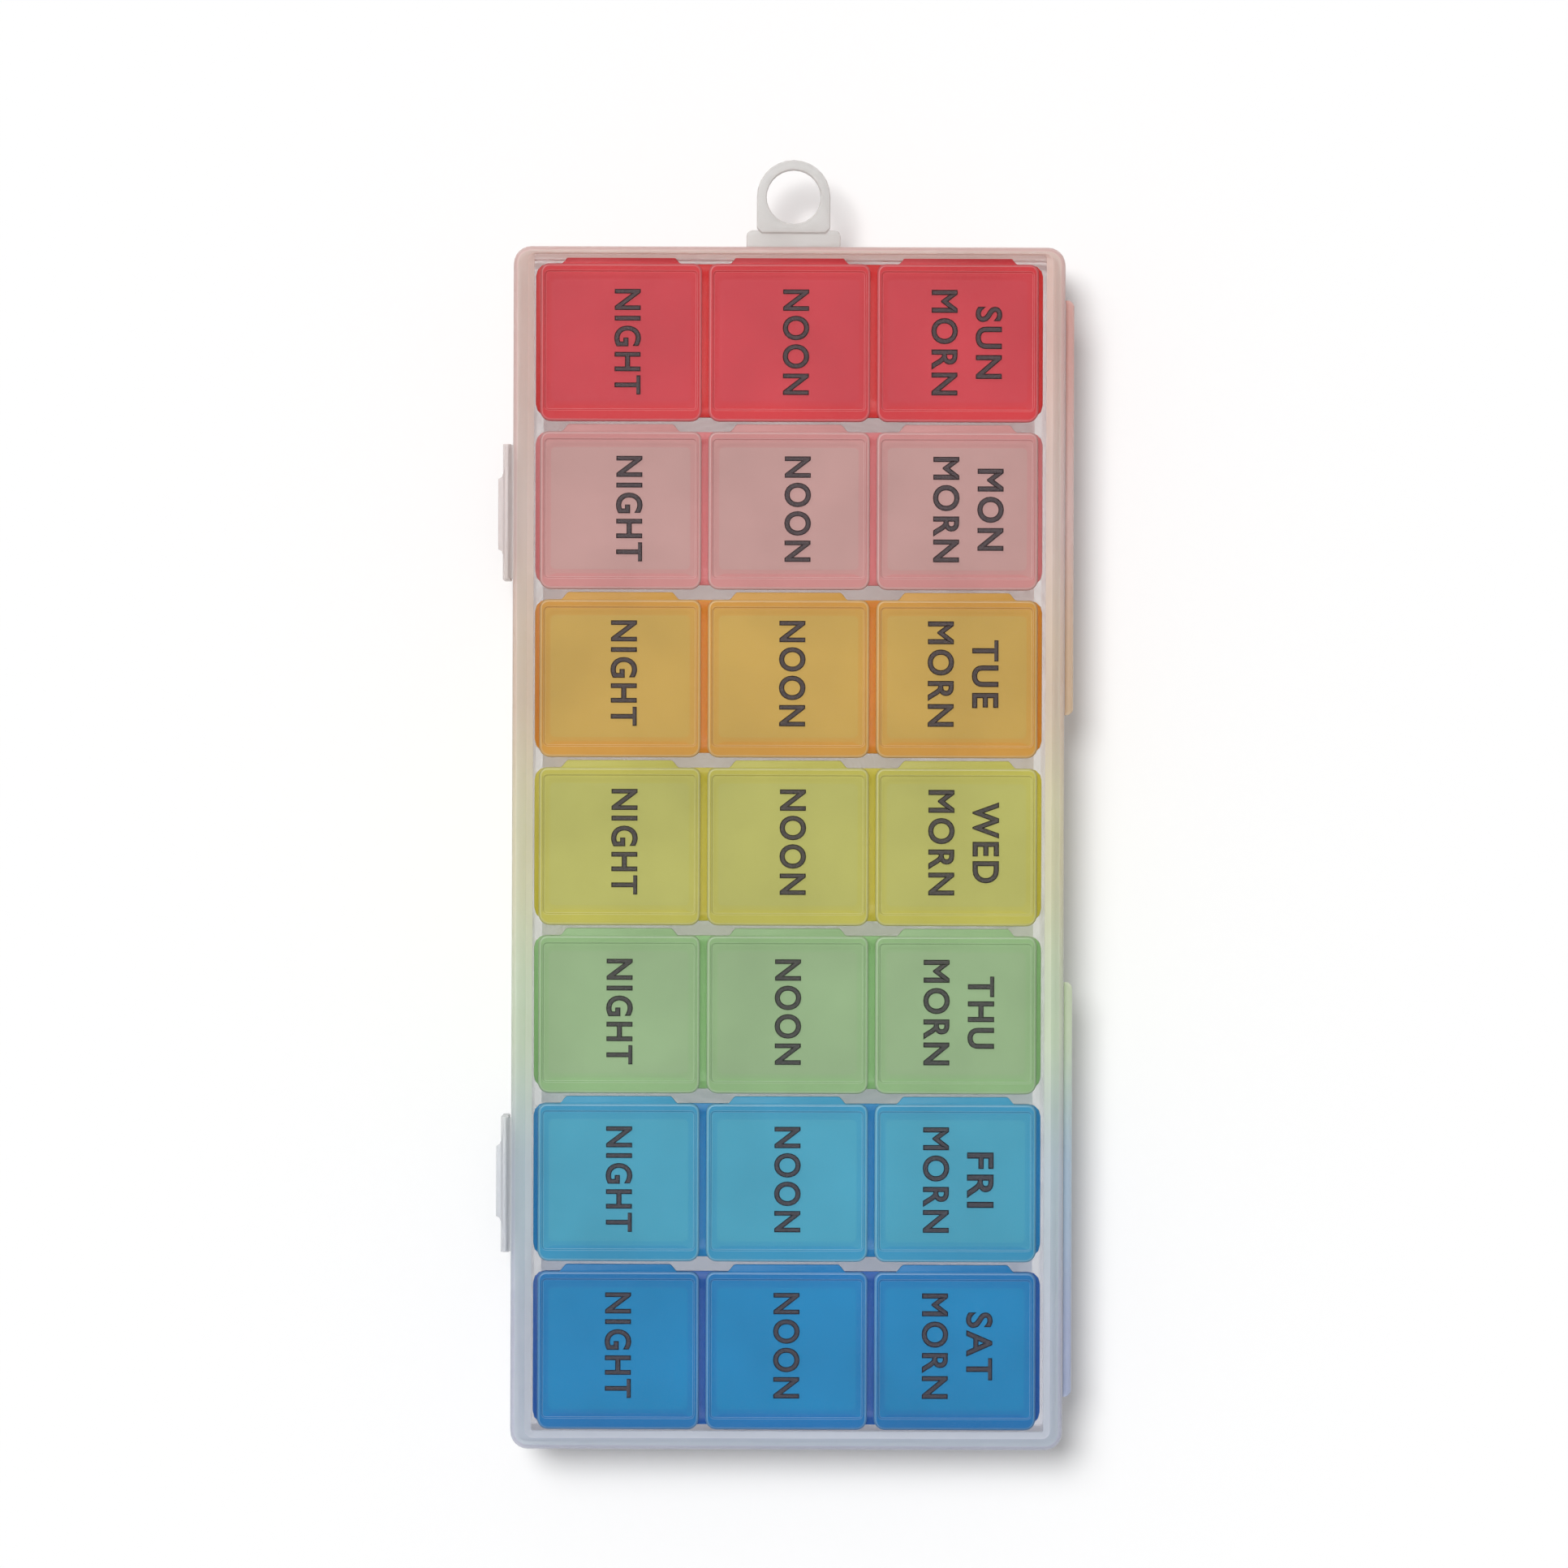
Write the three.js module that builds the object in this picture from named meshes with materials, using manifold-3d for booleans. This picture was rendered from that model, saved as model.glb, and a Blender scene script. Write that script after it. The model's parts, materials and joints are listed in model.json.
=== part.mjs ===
// A weekly pill box: a shallow frosted case holds seven coloured strips, one for each day,
// and each strip has three lidded cups, for night, noon and morning.
// Millimetres, +Z up. X runs along the strips, with the case's hinge at +X and its latches at -X.
// Y runs through the week, with the hanging loop at +Y. The origin is the middle of the underside.
import * as THREE from 'three';
import { mergeVertices } from 'three/addons/utils/BufferGeometryUtils.js';
import Module from 'manifold-3d';

const wasm = await Module();
wasm.setup();

// The week
const days = ['sun', 'mon', 'tue', 'wed', 'thu', 'fri', 'sat'];
const times = ['night', 'noon', 'morn'];
const dayColours = [0xd23a3c, 0xd9868a, 0xe0913a, 0xc6c043, 0x7fbf83, 0x2f93c6, 0x1f68b0];

// Clearances
const restGap = 0.3;          // between pieces that rest on or touch each other
const overrun = 2;            // how far a cutter passes the face it cuts

// Cup: the mouth is the clear opening, the draft is how far each wall leans in at the floor
const cupLength = 27.6;
const cupWidth = 24.45;
const cupCorner = 1.8;
const cupWall = 1.1;
const cupFloor = 1.2;
const cupDraft = 1.0;
const cupScoop = 3;           // the round between a cup's walls and its floor
const cupFoot = 1.2;          // the same round outside

// Strip
const stripHeight = 20.2;
const deckThickness = 1.2;
const deckFrontCorner = 2.2;
const deckBackCorner = 2.4;
const shoulder = 0.85;        // deck beyond the lids at each end
const hingeBossLength = 12.7; // thickened wall behind each cup, which carries the lid's film
const hingeBossDepth = 0.55;
const hingeBossHeight = 4;

// Cup lid: the margins are how far it passes the cup's mouth
const lidSideMargin = 1.05;
const lidFrontMargin = 1.9;
const lidBackMargin = 2.65;
const lidPlate = 1.45;
const lidCorner = 1.6;
const lidBackCorner = 2;
const lidEdgeRound = 0.45;
const labelSideInset = 0.8;   // from the lid's edges to the recess that the words lie in
const labelFrontInset = 1.3;
const labelBackInset = 2;
const labelDepth = 0.25;
const labelCorner = 0.8;
const lidGap = 1.25;          // between the lids of one strip
const plugClearance = 0.25;
const plugWall = 0.75;
const plugDepth = 2;
const tabBase = 22;
const tabTip = 18.8;
const tabReach = 1.35;
const tabThickness = 1;
const tabCorner = 0.7;
const filmInset = 0.6;        // from the lid's back edge in to its film hinge
const filmRelief = 0.22;      // from the film hinge's axis to the deck's back edge

// Case
const trayHeight = 17.5;      // the height of the joint between tray and case lid
const caseWall = 1.2;
const trayFloor = 1.2;
const trayDraft = 1.4;
const trayFoot = 1;
const trayScoop = 1.2;
const caseCorner = 3.6;
const sideRoom = 3.1;         // between a strip's end and the case wall
const frontRoom = 0.72;       // between the first lids' tabs and the case wall
const backRoom = 2.53;        // between the last lids' back edges and the case wall
const stripGap = 0.53;        // between a lid's tab and the next strip's lid
const lipWall = 0.8;          // the low wall inside the rim that centres the case lid
const lipRise = 1;
const lipRoot = 2;
const headroom = 1.45;        // between the cup lids and the case lid
const panelThickness = 1.2;
const borderRise = 0.55;
const borderWidth = 2.5;
const borderCorner = 1.5;
const borderSlope = 0.35;
const caseLidDraft = 0.4;
const caseEdgeRound = 0.8;

// Case hinge: two long film webs that bulge out at the joint
const webRadius = 0.8;        // from the case's rim out to the hinge axis
const webLength = 76.5;
const webThickness = 0.35;
const webSpacing = 125.8;     // between the middles of the two webs
const webGap = 0.25;          // between the web and the case lid's swept path

// Latches
const latchLength = 25;
const latchSpacing = 124;
const latchCentreShift = 0.2; // the pair's middle lies this far towards -Y
const latchReach = 1.8;       // how far a latch stands proud of the rim
const latchWall = 1.2;
const latchRise = 1.8;        // from the joint up to the latch's own film hinge
const latchDrop = 9.6;        // from the joint down to the latch's lower end
const fingerLength = 13.7;
const fingerReach = 1.3;
const fingerThickness = 1.3;
const fingerFlare = 2;        // how much longer the finger lip is at its root, at each end
const catchLength = 19;
const catchReach = 0.6;       // the bead's bite beyond the wall at its own height
const catchHeight = 2.4;
const catchDrop = 6;          // from the joint down to the bead's lower face
const hookHeight = 1;

// Hanging loop
const loopWidth = 13.6;
const loopHole = 10;
const loopReach = 16.45;      // from the case's end to the top of the loop
const loopThickness = 2.4;
const loopShift = 0.7;        // the loop's middle lies this far towards +X
const loopHoleOffset = 6.8;   // from the top of the loop down to the middle of the hole
const loopFootCorner = 0.9;
const loopBaseWidth = 17.4;
const loopBaseReach = 3.5;
const loopBaseThickness = 1.5;
const loopBaseCorner = 1.1;
const loopOverlap = 0.5;
const loopDrop = 0.7;         // from the joint down to the loop's upper face

// Facets
const arcSteps = 3;           // facets in a quarter turn of a small corner
const plugArcSteps = 2;
const caseArcSteps = 5;
const roundSteps = 2;
const bevelSteps = 1;         // a round this small is a plain bevel
const holeSteps = 28;

// Worked out from the sizes above
const lidLength = cupLength + 2 * lidSideMargin;
const lidWidth = cupWidth + lidFrontMargin + lidBackMargin;
const lidPitch = lidLength + lidGap;
const cupShift = (lidBackMargin - lidFrontMargin) / 2;
const stripLength = times.length * lidPitch - lidGap + 2 * shoulder;
const stripPitch = lidWidth + tabReach + stripGap;
const filmY = -lidWidth / 2 + filmInset;
const deckBack = filmY + filmRelief;
const deckFront = lidWidth / 2;
const stripBase = trayFloor + restGap;
const deckTop = stripBase + stripHeight;
const lidBase = deckTop + restGap;
const lidTop = lidBase + lidPlate;
const panelBase = lidTop + headroom;
const panelTop = panelBase + panelThickness;
const borderTop = panelTop + borderRise;
const caseHalfX = stripLength / 2 + sideRoom + caseWall;
const weekLength = (days.length - 1) * stripPitch + lidWidth + tabReach;
const caseHalfY = (weekLength + frontRoom + backRoom) / 2 + caseWall;
const weekShift = (backRoom - frontRoom - tabReach) / 2;

// Shape tools

/** One closed outline of a rounded rectangle, anticlockwise. The corners start at +X +Y. */
function roundedOutline(halfX, halfY, radii, steps) {
  const points = [];
  const corners = [[1, 1], [-1, 1], [-1, -1], [1, -1]];
  corners.forEach(([signX, signY], corner) => {
    const radius = radii[corner];
    for (let step = 0; step <= steps; step += 1) {
      const angle = (corner + step / steps) * Math.PI / 2;
      points.push([
        signX * (halfX - radius) + radius * Math.cos(angle),
        signY * (halfY - radius) + radius * Math.sin(angle),
      ]);
    }
  });
  return points;
}

/** A ring of a loft: a rounded rectangle drawn in by an inset, its corner centres staying put. */
function ring(halfX, halfY, radius, inset, z, steps) {
  const least = radius / 8;
  const corner = Math.max(radius - inset, least);
  const outline = roundedOutline(halfX - inset, halfY - inset, [corner, corner, corner, corner], steps);
  return outline.map(([x, y]) => new THREE.Vector3(x, y, z));
}

/** A closed solid through rings of equally many points, from the lowest to the highest. */
function loft(rings) {
  const count = rings[0].length;
  const positions = rings.flat().flatMap((point) => [point.x, point.y, point.z]);
  const index = [];
  for (let level = 0; level < rings.length - 1; level += 1) {
    for (let point = 0; point < count; point += 1) {
      const next = (point + 1) % count;
      const low = level * count;
      const high = low + count;
      index.push(low + point, low + next, high + next);
      index.push(low + point, high + next, high + point);
    }
  }
  const top = (rings.length - 1) * count;
  for (let point = 1; point < count - 1; point += 1) {
    index.push(0, point + 1, point);
    index.push(top, top + point, top + point + 1);
  }
  const geometry = new THREE.BufferGeometry();
  geometry.setAttribute('position', new THREE.Float32BufferAttribute(positions, 3));
  geometry.setIndex(index);
  return geometry;
}

/** Heights and insets of a round between a flat face and a wall, as a list of [inset, rise]. */
function roundOff(radius, steps) {
  const list = [];
  for (let step = 0; step <= steps; step += 1) {
    const angle = (step / steps) * Math.PI / 2;
    list.push([radius * (1 - Math.sin(angle)), radius * (1 - Math.cos(angle))]);
  }
  return list;
}

/** A THREE geometry as a solid that can be joined and cut. */
function solid(geometry) {
  const bare = geometry.clone();
  bare.deleteAttribute('normal');
  bare.deleteAttribute('uv');
  const merged = mergeVertices(bare);
  return new wasm.Manifold(new wasm.Mesh({
    numProp: 3,
    vertProperties: Float32Array.from(merged.attributes.position.array),
    triVerts: Uint32Array.from(merged.index.array),
  }));
}

/** A closed outline pushed up from one height to another. */
function prism(points, bottom, top, holes = []) {
  const shape = new THREE.Shape(points.map(([x, y]) => new THREE.Vector2(x, y)));
  holes.forEach((hole) => shape.holes.push(new THREE.Path(hole.map(([x, y]) => new THREE.Vector2(x, y)))));
  const geometry = new THREE.ExtrudeGeometry(shape, { depth: top - bottom, bevelEnabled: false });
  geometry.translate(0, 0, bottom);
  return solid(geometry);
}

/** A profile in X and Z, drawn out along Y about the middle. */
function bar(points, length) {
  const shape = new THREE.Shape(points.map(([x, z]) => new THREE.Vector2(x, z)));
  const geometry = new THREE.ExtrudeGeometry(shape, { depth: length, bevelEnabled: false });
  geometry.rotateX(Math.PI / 2);
  geometry.translate(0, length / 2, 0);
  return solid(geometry);
}

function box(lowX, highX, lowY, highY, lowZ, highZ) {
  return prism([[lowX, lowY], [highX, lowY], [highX, highY], [lowX, highY]], lowZ, highZ);
}

function circle(radius, centreX, centreY, steps) {
  const points = [];
  for (let step = 0; step < steps; step += 1) {
    const angle = (step / steps) * 2 * Math.PI;
    points.push([centreX + radius * Math.cos(angle), centreY + radius * Math.sin(angle)]);
  }
  return points;
}

const join = (parts) => parts.reduce((whole, part) => whole.add(part));

/** A solid's surface as a THREE geometry. */
function surface(shape) {
  const mesh = shape.getMesh();
  const geometry = new THREE.BufferGeometry();
  geometry.setAttribute('position', new THREE.Float32BufferAttribute(mesh.vertProperties, 3));
  geometry.setIndex([...mesh.triVerts]);
  return geometry;
}

const frosted = () => new THREE.MeshStandardMaterial({ color: 0xd9d3cf, roughness: 0.55, metalness: 0 });
const tinted = (day) => new THREE.MeshStandardMaterial({ color: dayColours[day], roughness: 0.45, metalness: 0 });

function piece(name, geometry, material, x = 0, y = 0, z = 0) {
  const mesh = new THREE.Mesh(geometry, material);
  mesh.name = name;
  mesh.position.set(x, y, z);
  return mesh;
}

// Case

const rimRing = (inset, z) => ring(caseHalfX, caseHalfY, caseCorner, inset, z, caseArcSteps);

/** How far the tray's outer face has drawn in at a height. */
const trayInset = (z) => trayDraft * (1 - z / trayHeight);

function makeTray() {
  const rim = trayHeight - restGap / 2;
  const outside = roundOff(trayFoot, roundSteps).map(([inset, rise]) => rimRing(trayInset(rise) + inset, rise));
  outside.push(rimRing(trayInset(rim), rim));
  const inside = roundOff(trayScoop, roundSteps).map(([inset, rise]) => {
    const z = trayFloor + rise;
    return rimRing(trayInset(z) + caseWall + inset, z);
  });
  inside.push(rimRing(trayInset(rim) + caseWall, rim));
  inside.push(rimRing(trayInset(rim) + caseWall, rim + overrun));
  let tray = solid(loft(outside)).subtract(solid(loft(inside)));

  // the lip stands inside the rim, on a root that blends into the wall below it
  const lipFace = caseWall + restGap;
  const lipTop = trayHeight + lipRise;
  const rootTop = trayHeight - lipRoot;
  const lipOutside = [
    rimRing(caseWall - lipWall / 2, rootTop - lipWall),
    rimRing(caseWall - lipWall / 2, rim),
    rimRing(lipFace, rim),
    rimRing(lipFace, lipTop),
  ];
  const lipInside = [
    rimRing(caseWall, rootTop - lipWall - overrun),
    rimRing(caseWall + trayInset(rootTop - lipWall), rootTop - lipWall),
    rimRing(lipFace + lipWall, rootTop),
    rimRing(lipFace + lipWall, lipTop + overrun),
  ];
  const lip = solid(loft(lipOutside)).subtract(solid(loft(lipInside)));
  tray = tray.add(lip);

  // a bead on the wall for each latch, with a sloped lead-in above and a flat face below
  const beadBottom = trayHeight - catchDrop;
  const beadTop = beadBottom + catchHeight;
  const wallX = -(caseHalfX - trayInset(beadBottom));
  const root = wallX + caseWall / 2;
  const tip = wallX - catchReach;
  const bead = bar([
    [root, beadBottom],
    [root, beadTop],
    [wallX, beadTop],
    [tip, beadBottom + catchHeight / 3],
    [tip, beadBottom],
  ], catchLength);
  return join([tray, ...latchPlaces().map((y) => bead.translate([0, y, 0]))]);
}

function makeCaseLid() {
  const skirt = trayHeight + restGap / 2;
  const lidInset = (z) => caseLidDraft * (z - trayHeight) / (borderTop - trayHeight);
  const outside = [rimRing(0, skirt)];
  roundOff(caseEdgeRound, roundSteps + 1).reverse().forEach(([inset, rise]) => {
    const z = borderTop - rise;
    outside.push(rimRing(lidInset(z) + inset, z));
  });
  const inside = [rimRing(caseWall, skirt - overrun), rimRing(caseWall, skirt)];
  roundOff(caseEdgeRound, roundSteps).reverse().forEach(([inset, rise]) => {
    const z = panelBase - rise;
    inside.push(rimRing(lidInset(z) + caseWall + inset, z));
  });
  const recessX = caseHalfX - borderWidth;
  const recessY = caseHalfY - borderWidth;
  const recess = solid(loft([
    ring(recessX, recessY, borderCorner, borderSlope, panelTop, arcSteps),
    ring(recessX, recessY, borderCorner, 0, borderTop, arcSteps),
    ring(recessX, recessY, borderCorner, 0, borderTop + overrun, arcSteps),
  ]));
  return solid(loft(outside)).subtract(solid(loft(inside))).subtract(recess);
}

/** A film web: a thin tube, open towards the case, round the hinge axis. */
function makeWeb() {
  const radius = webRadius - webGap;
  const outer = [];
  const inner = [];
  const steps = 10;
  const mouth = Math.PI / 5;
  for (let step = 0; step <= steps; step += 1) {
    const angle = -Math.PI + mouth + (step / steps) * 2 * (Math.PI - mouth);
    outer.push([radius * Math.cos(angle), radius * Math.sin(angle)]);
    inner.push([(radius - webThickness) * Math.cos(angle), (radius - webThickness) * Math.sin(angle)]);
  }
  const profile = [...outer, ...inner.reverse()];
  return bar(profile.map(([x, z]) => [caseHalfX + webRadius + x, trayHeight + z]), webLength);
}

const latchPlaces = () => [latchSpacing / 2, -latchSpacing / 2].map((y) => y - latchCentreShift);

/** A latch: a bent flap from its own film hinge, with a hook nose and a finger lip at its lower end. */
function makeLatch() {
  const hingeX = -(caseHalfX + restGap);
  const face = -(caseHalfX + latchReach);
  const back = face + latchWall;
  const top = trayHeight + latchRise;
  const bottom = trayHeight - latchDrop;
  const beadX = -(caseHalfX - trayInset(trayHeight - catchDrop)) - catchReach;
  const nose = beadX - restGap;
  const hookTop = trayHeight - catchDrop - restGap;
  const bend = latchWall / 3;
  const flap = bar([
    [hingeX, top],
    [hingeX, top - latchWall],
    [back, top - latchWall],
    [back, hookTop],
    [nose, hookTop],
    [nose, hookTop - hookHeight / 2],
    [back, hookTop - hookHeight * 2],
    [back, bottom],
    [face, bottom],
    [face, top - bend],
    [face + bend, top],
  ], latchLength);
  const root = fingerLength / 2 + fingerFlare;
  const tip = fingerLength / 2;
  const finger = prism([
    [face + latchWall / 2, root],
    [face, root],
    [face - fingerReach / 2, tip],
    [face - fingerReach, tip - fingerReach / 4],
    [face - fingerReach, -tip + fingerReach / 4],
    [face - fingerReach / 2, -tip],
    [face, -root],
    [face + latchWall / 2, -root],
  ], bottom, bottom + fingerThickness);
  return flap.add(finger);
}

/** The hanging loop: a thick eye on a thinner, wider base tab. */
function makeLoop() {
  const end = caseHalfY + restGap;
  const tip = caseHalfY + loopReach;
  const centre = tip - loopHoleOffset;
  const foot = caseHalfY + loopBaseReach - loopOverlap;
  const halfWidth = loopWidth / 2;
  const outline = [];
  for (let step = 0; step <= holeSteps / 2; step += 1) {
    const angle = (step / (holeSteps / 2)) * Math.PI;
    outline.push([halfWidth * Math.cos(angle), centre + loopHoleOffset * Math.sin(angle)]);
  }
  outline.push([-halfWidth, foot + loopFootCorner]);
  outline.push([-halfWidth + loopFootCorner, foot]);
  outline.push([halfWidth - loopFootCorner, foot]);
  outline.push([halfWidth, foot + loopFootCorner]);
  const upper = trayHeight - loopDrop;
  const eye = prism(outline, upper - loopThickness, upper, [circle(loopHole / 2, 0, centre, holeSteps)]);
  const baseHalfY = (loopBaseReach - restGap) / 2;
  const base = roundedOutline(loopBaseWidth / 2, baseHalfY, [loopBaseCorner, loopBaseCorner, 0, 0], arcSteps)
    .map(([x, y]) => [x, y + end + baseHalfY]);
  const baseTop = upper - (loopThickness - loopBaseThickness) / 2;
  return eye.add(prism(base, baseTop - loopBaseThickness, baseTop));
}

// Strips

const cupPlaces = () => times.map((time, index) => (index - (times.length - 1) / 2) * lidPitch);

function makeStrip() {
  const halfX = cupLength / 2;
  const halfY = cupWidth / 2;
  const cupInset = (z) => cupDraft * (1 - z / stripHeight);
  const cupRing = (grow, inset, z) => (
    ring(halfX + grow, halfY + grow, cupCorner + grow, inset + cupInset(z), z, arcSteps)
  );
  const outer = roundOff(cupFoot, bevelSteps).map(([inset, rise]) => cupRing(cupWall, inset, rise));
  outer.push(cupRing(cupWall, 0, stripHeight - deckThickness / 2));
  const cup = solid(loft(outer)).translate([0, cupShift, 0]);
  const inner = roundOff(cupScoop, roundSteps).map(([inset, rise]) => cupRing(0, inset, cupFloor + rise));
  inner.push(cupRing(0, 0, stripHeight));
  inner.push(cupRing(0, 0, stripHeight + overrun));
  const cavity = solid(loft(inner)).translate([0, cupShift, 0]);

  const deckY = (deckFront + deckBack) / 2;
  const deckOutline = roundedOutline(
    stripLength / 2,
    (deckFront - deckBack) / 2,
    [deckFrontCorner, deckFrontCorner, deckBackCorner, deckBackCorner],
    arcSteps,
  ).map(([x, y]) => [x, y + deckY]);
  const deck = prism(deckOutline, stripHeight - deckThickness, stripHeight);

  const wallFace = cupShift - halfY - cupWall;
  const boss = box(
    -hingeBossLength / 2,
    hingeBossLength / 2,
    wallFace - hingeBossDepth,
    wallFace + cupWall / 2,
    stripHeight - deckThickness / 2 - hingeBossHeight,
    stripHeight - deckThickness / 2,
  );

  const places = cupPlaces();
  const shell = [deck];
  places.forEach((x) => shell.push(cup.translate([x, 0, 0]), boss.translate([x, 0, 0])));
  const cavities = join(places.map((x) => cavity.translate([x, 0, 0])));
  return surface(join(shell).subtract(cavities));
}

// Cup lids

function makeLid() {
  const halfX = lidLength / 2;
  const halfY = lidWidth / 2;
  const level = (inset, z) => roundedOutline(
    halfX - inset,
    halfY - inset,
    [lidCorner, lidCorner, lidBackCorner, lidBackCorner].map((radius) => radius - inset),
    arcSteps,
  ).map(([x, y]) => new THREE.Vector3(x, y, z));
  const rings = [level(0, 0)];
  roundOff(lidEdgeRound, bevelSteps).reverse().forEach(([inset, rise]) => {
    rings.push(level(inset, lidPlate - rise));
  });
  const plate = solid(loft(rings));

  const tab = prism([
    [-tabBase / 2, halfY - lidEdgeRound],
    [tabBase / 2, halfY - lidEdgeRound],
    [tabBase / 2, halfY],
    [tabTip / 2 + tabCorner / 2, halfY + tabReach - tabCorner],
    [tabTip / 2 - tabCorner, halfY + tabReach],
    [-tabTip / 2 + tabCorner, halfY + tabReach],
    [-tabTip / 2 - tabCorner / 2, halfY + tabReach - tabCorner],
    [-tabBase / 2, halfY],
  ], lidPlate - lidEdgeRound / 2 - tabThickness, lidPlate - lidEdgeRound / 2);

  const labelHalfY = halfY - (labelFrontInset + labelBackInset) / 2;
  const labelY = (labelBackInset - labelFrontInset) / 2;
  const label = prism(
    roundedOutline(halfX - labelSideInset, labelHalfY, Array(4).fill(labelCorner), plugArcSteps),
    lidPlate - labelDepth,
    lidPlate + overrun,
  ).translate([0, labelY, 0]);

  const plugX = cupLength / 2 - plugClearance;
  const plugY = cupWidth / 2 - plugClearance;
  const plugRing = (inset, z) => ring(plugX, plugY, cupCorner - plugClearance, inset, z, plugArcSteps);
  const lead = plugWall / 3;
  const plug = solid(loft([plugRing(lead, -plugDepth), plugRing(0, -plugDepth + 2 * lead), plugRing(0, lidPlate / 2)]))
    .subtract(solid(loft([plugRing(plugWall, -plugDepth - overrun), plugRing(plugWall, 0)])))
    .translate([0, cupShift, 0]);
  return surface(join([plate, tab]).subtract(label).add(plug));
}

// Assembly

const pillBox = new THREE.Group();
pillBox.add(piece('case_tray', surface(makeTray()), frosted()));
pillBox.add(piece('case_lid', surface(makeCaseLid()), frosted()));
pillBox.add(piece('hang_loop', surface(makeLoop()), frosted(), loopShift));

const web = surface(makeWeb());
pillBox.add(piece('case_hinge_web_upper', web, frosted(), 0, webSpacing / 2));
pillBox.add(piece('case_hinge_web_lower', web, frosted(), 0, -webSpacing / 2));

const latch = surface(makeLatch());
const [upperLatch, lowerLatch] = latchPlaces();
pillBox.add(piece('latch_upper', latch, frosted(), 0, upperLatch));
pillBox.add(piece('latch_lower', latch, frosted(), 0, lowerLatch));

const strip = makeStrip();
const lid = makeLid();
days.forEach((day, dayIndex) => {
  const row = new THREE.Group();
  row.position.set(0, ((days.length - 1) / 2 - dayIndex) * stripPitch + weekShift, 0);
  row.add(piece(`strip_${day}`, strip, tinted(dayIndex), 0, 0, stripBase));
  cupPlaces().forEach((x, cup) => {
    row.add(piece(`lid_${day}_${times[cup]}`, lid, tinted(dayIndex), x, 0, lidBase));
  });
  pillBox.add(row);
});

export default pillBox;
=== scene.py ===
"""A weekly pill box, round its CAD frame: a frosted case over seven strips of lidded cups."""
import json
import math

import bmesh
import bpy
from bpy.props import FloatProperty, FloatVectorProperty, PointerProperty
from mathutils import Matrix, Vector
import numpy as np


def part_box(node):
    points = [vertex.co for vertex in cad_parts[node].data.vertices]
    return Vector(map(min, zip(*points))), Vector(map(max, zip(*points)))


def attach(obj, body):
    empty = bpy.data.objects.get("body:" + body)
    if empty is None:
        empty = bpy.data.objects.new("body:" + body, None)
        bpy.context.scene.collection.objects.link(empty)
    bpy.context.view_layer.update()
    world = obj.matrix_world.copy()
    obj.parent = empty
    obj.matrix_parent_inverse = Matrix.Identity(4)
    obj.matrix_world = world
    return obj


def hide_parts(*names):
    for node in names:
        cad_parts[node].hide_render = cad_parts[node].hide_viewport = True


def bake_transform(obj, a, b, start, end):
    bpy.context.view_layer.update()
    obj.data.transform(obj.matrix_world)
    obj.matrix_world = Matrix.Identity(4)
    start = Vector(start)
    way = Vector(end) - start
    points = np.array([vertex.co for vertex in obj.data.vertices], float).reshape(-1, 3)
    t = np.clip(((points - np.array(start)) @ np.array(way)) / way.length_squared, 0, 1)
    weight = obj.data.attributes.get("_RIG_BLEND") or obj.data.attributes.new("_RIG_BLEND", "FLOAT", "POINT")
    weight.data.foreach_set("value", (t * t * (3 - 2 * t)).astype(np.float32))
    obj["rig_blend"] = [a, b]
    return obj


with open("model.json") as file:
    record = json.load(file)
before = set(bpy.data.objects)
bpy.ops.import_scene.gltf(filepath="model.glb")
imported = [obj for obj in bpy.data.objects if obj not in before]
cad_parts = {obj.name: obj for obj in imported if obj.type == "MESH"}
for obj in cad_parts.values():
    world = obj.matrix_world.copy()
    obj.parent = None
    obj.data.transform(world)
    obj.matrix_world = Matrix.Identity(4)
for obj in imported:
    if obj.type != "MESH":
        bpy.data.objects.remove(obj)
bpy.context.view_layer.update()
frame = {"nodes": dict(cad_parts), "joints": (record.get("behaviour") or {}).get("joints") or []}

bl_info = {
    "name": "Weekly Pill Box",
    "version": (1, 0, 0),
    "blender": (4, 5, 0),
    "location": "View3D > Sidebar > Pill Box",
    "description": "Models a frosted weekly pill box with coloured strips of lidded cups",
    "category": "Add Mesh",
}

MM = 0.001
DAYS = ("sun", "mon", "tue", "wed", "thu", "fri", "sat")
TIMES = ("night", "noon", "morn")

# How much plastic a face stands for, which its material turns into see-through and depth of colour, and in
# some zones into painted light and shade
PANEL, SLOPE, WALL = 0.0, 0.5, 1.0
PLAIN, RIM, BAND, FILM, OVERHANG = 0.0, 0.25, 0.5, 0.75, 1.0


# Settings

def length(value, description):
    """A length in metres, given in millimetres."""
    return FloatProperty(description=description, default=value * MM, min=0.0,
                         unit="LENGTH", subtype="DISTANCE", precision=5)


def offset(value, description):
    """A length to either side in metres, given in millimetres."""
    return FloatProperty(description=description, default=value * MM,
                         unit="LENGTH", subtype="DISTANCE", precision=5)


def angle(degrees, description):
    return FloatProperty(description=description, default=math.radians(degrees),
                         unit="ROTATION", subtype="ANGLE")


def number(value, description):
    return FloatProperty(description=description, default=value, min=0.0)


def share(value, description):
    return FloatProperty(description=description, default=value, min=0.0, max=1.0,
                         subtype="FACTOR")


def colour(value, description):
    return FloatVectorProperty(description=description, default=value, size=3,
                               min=0.0, max=1.0, subtype="COLOR")


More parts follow.
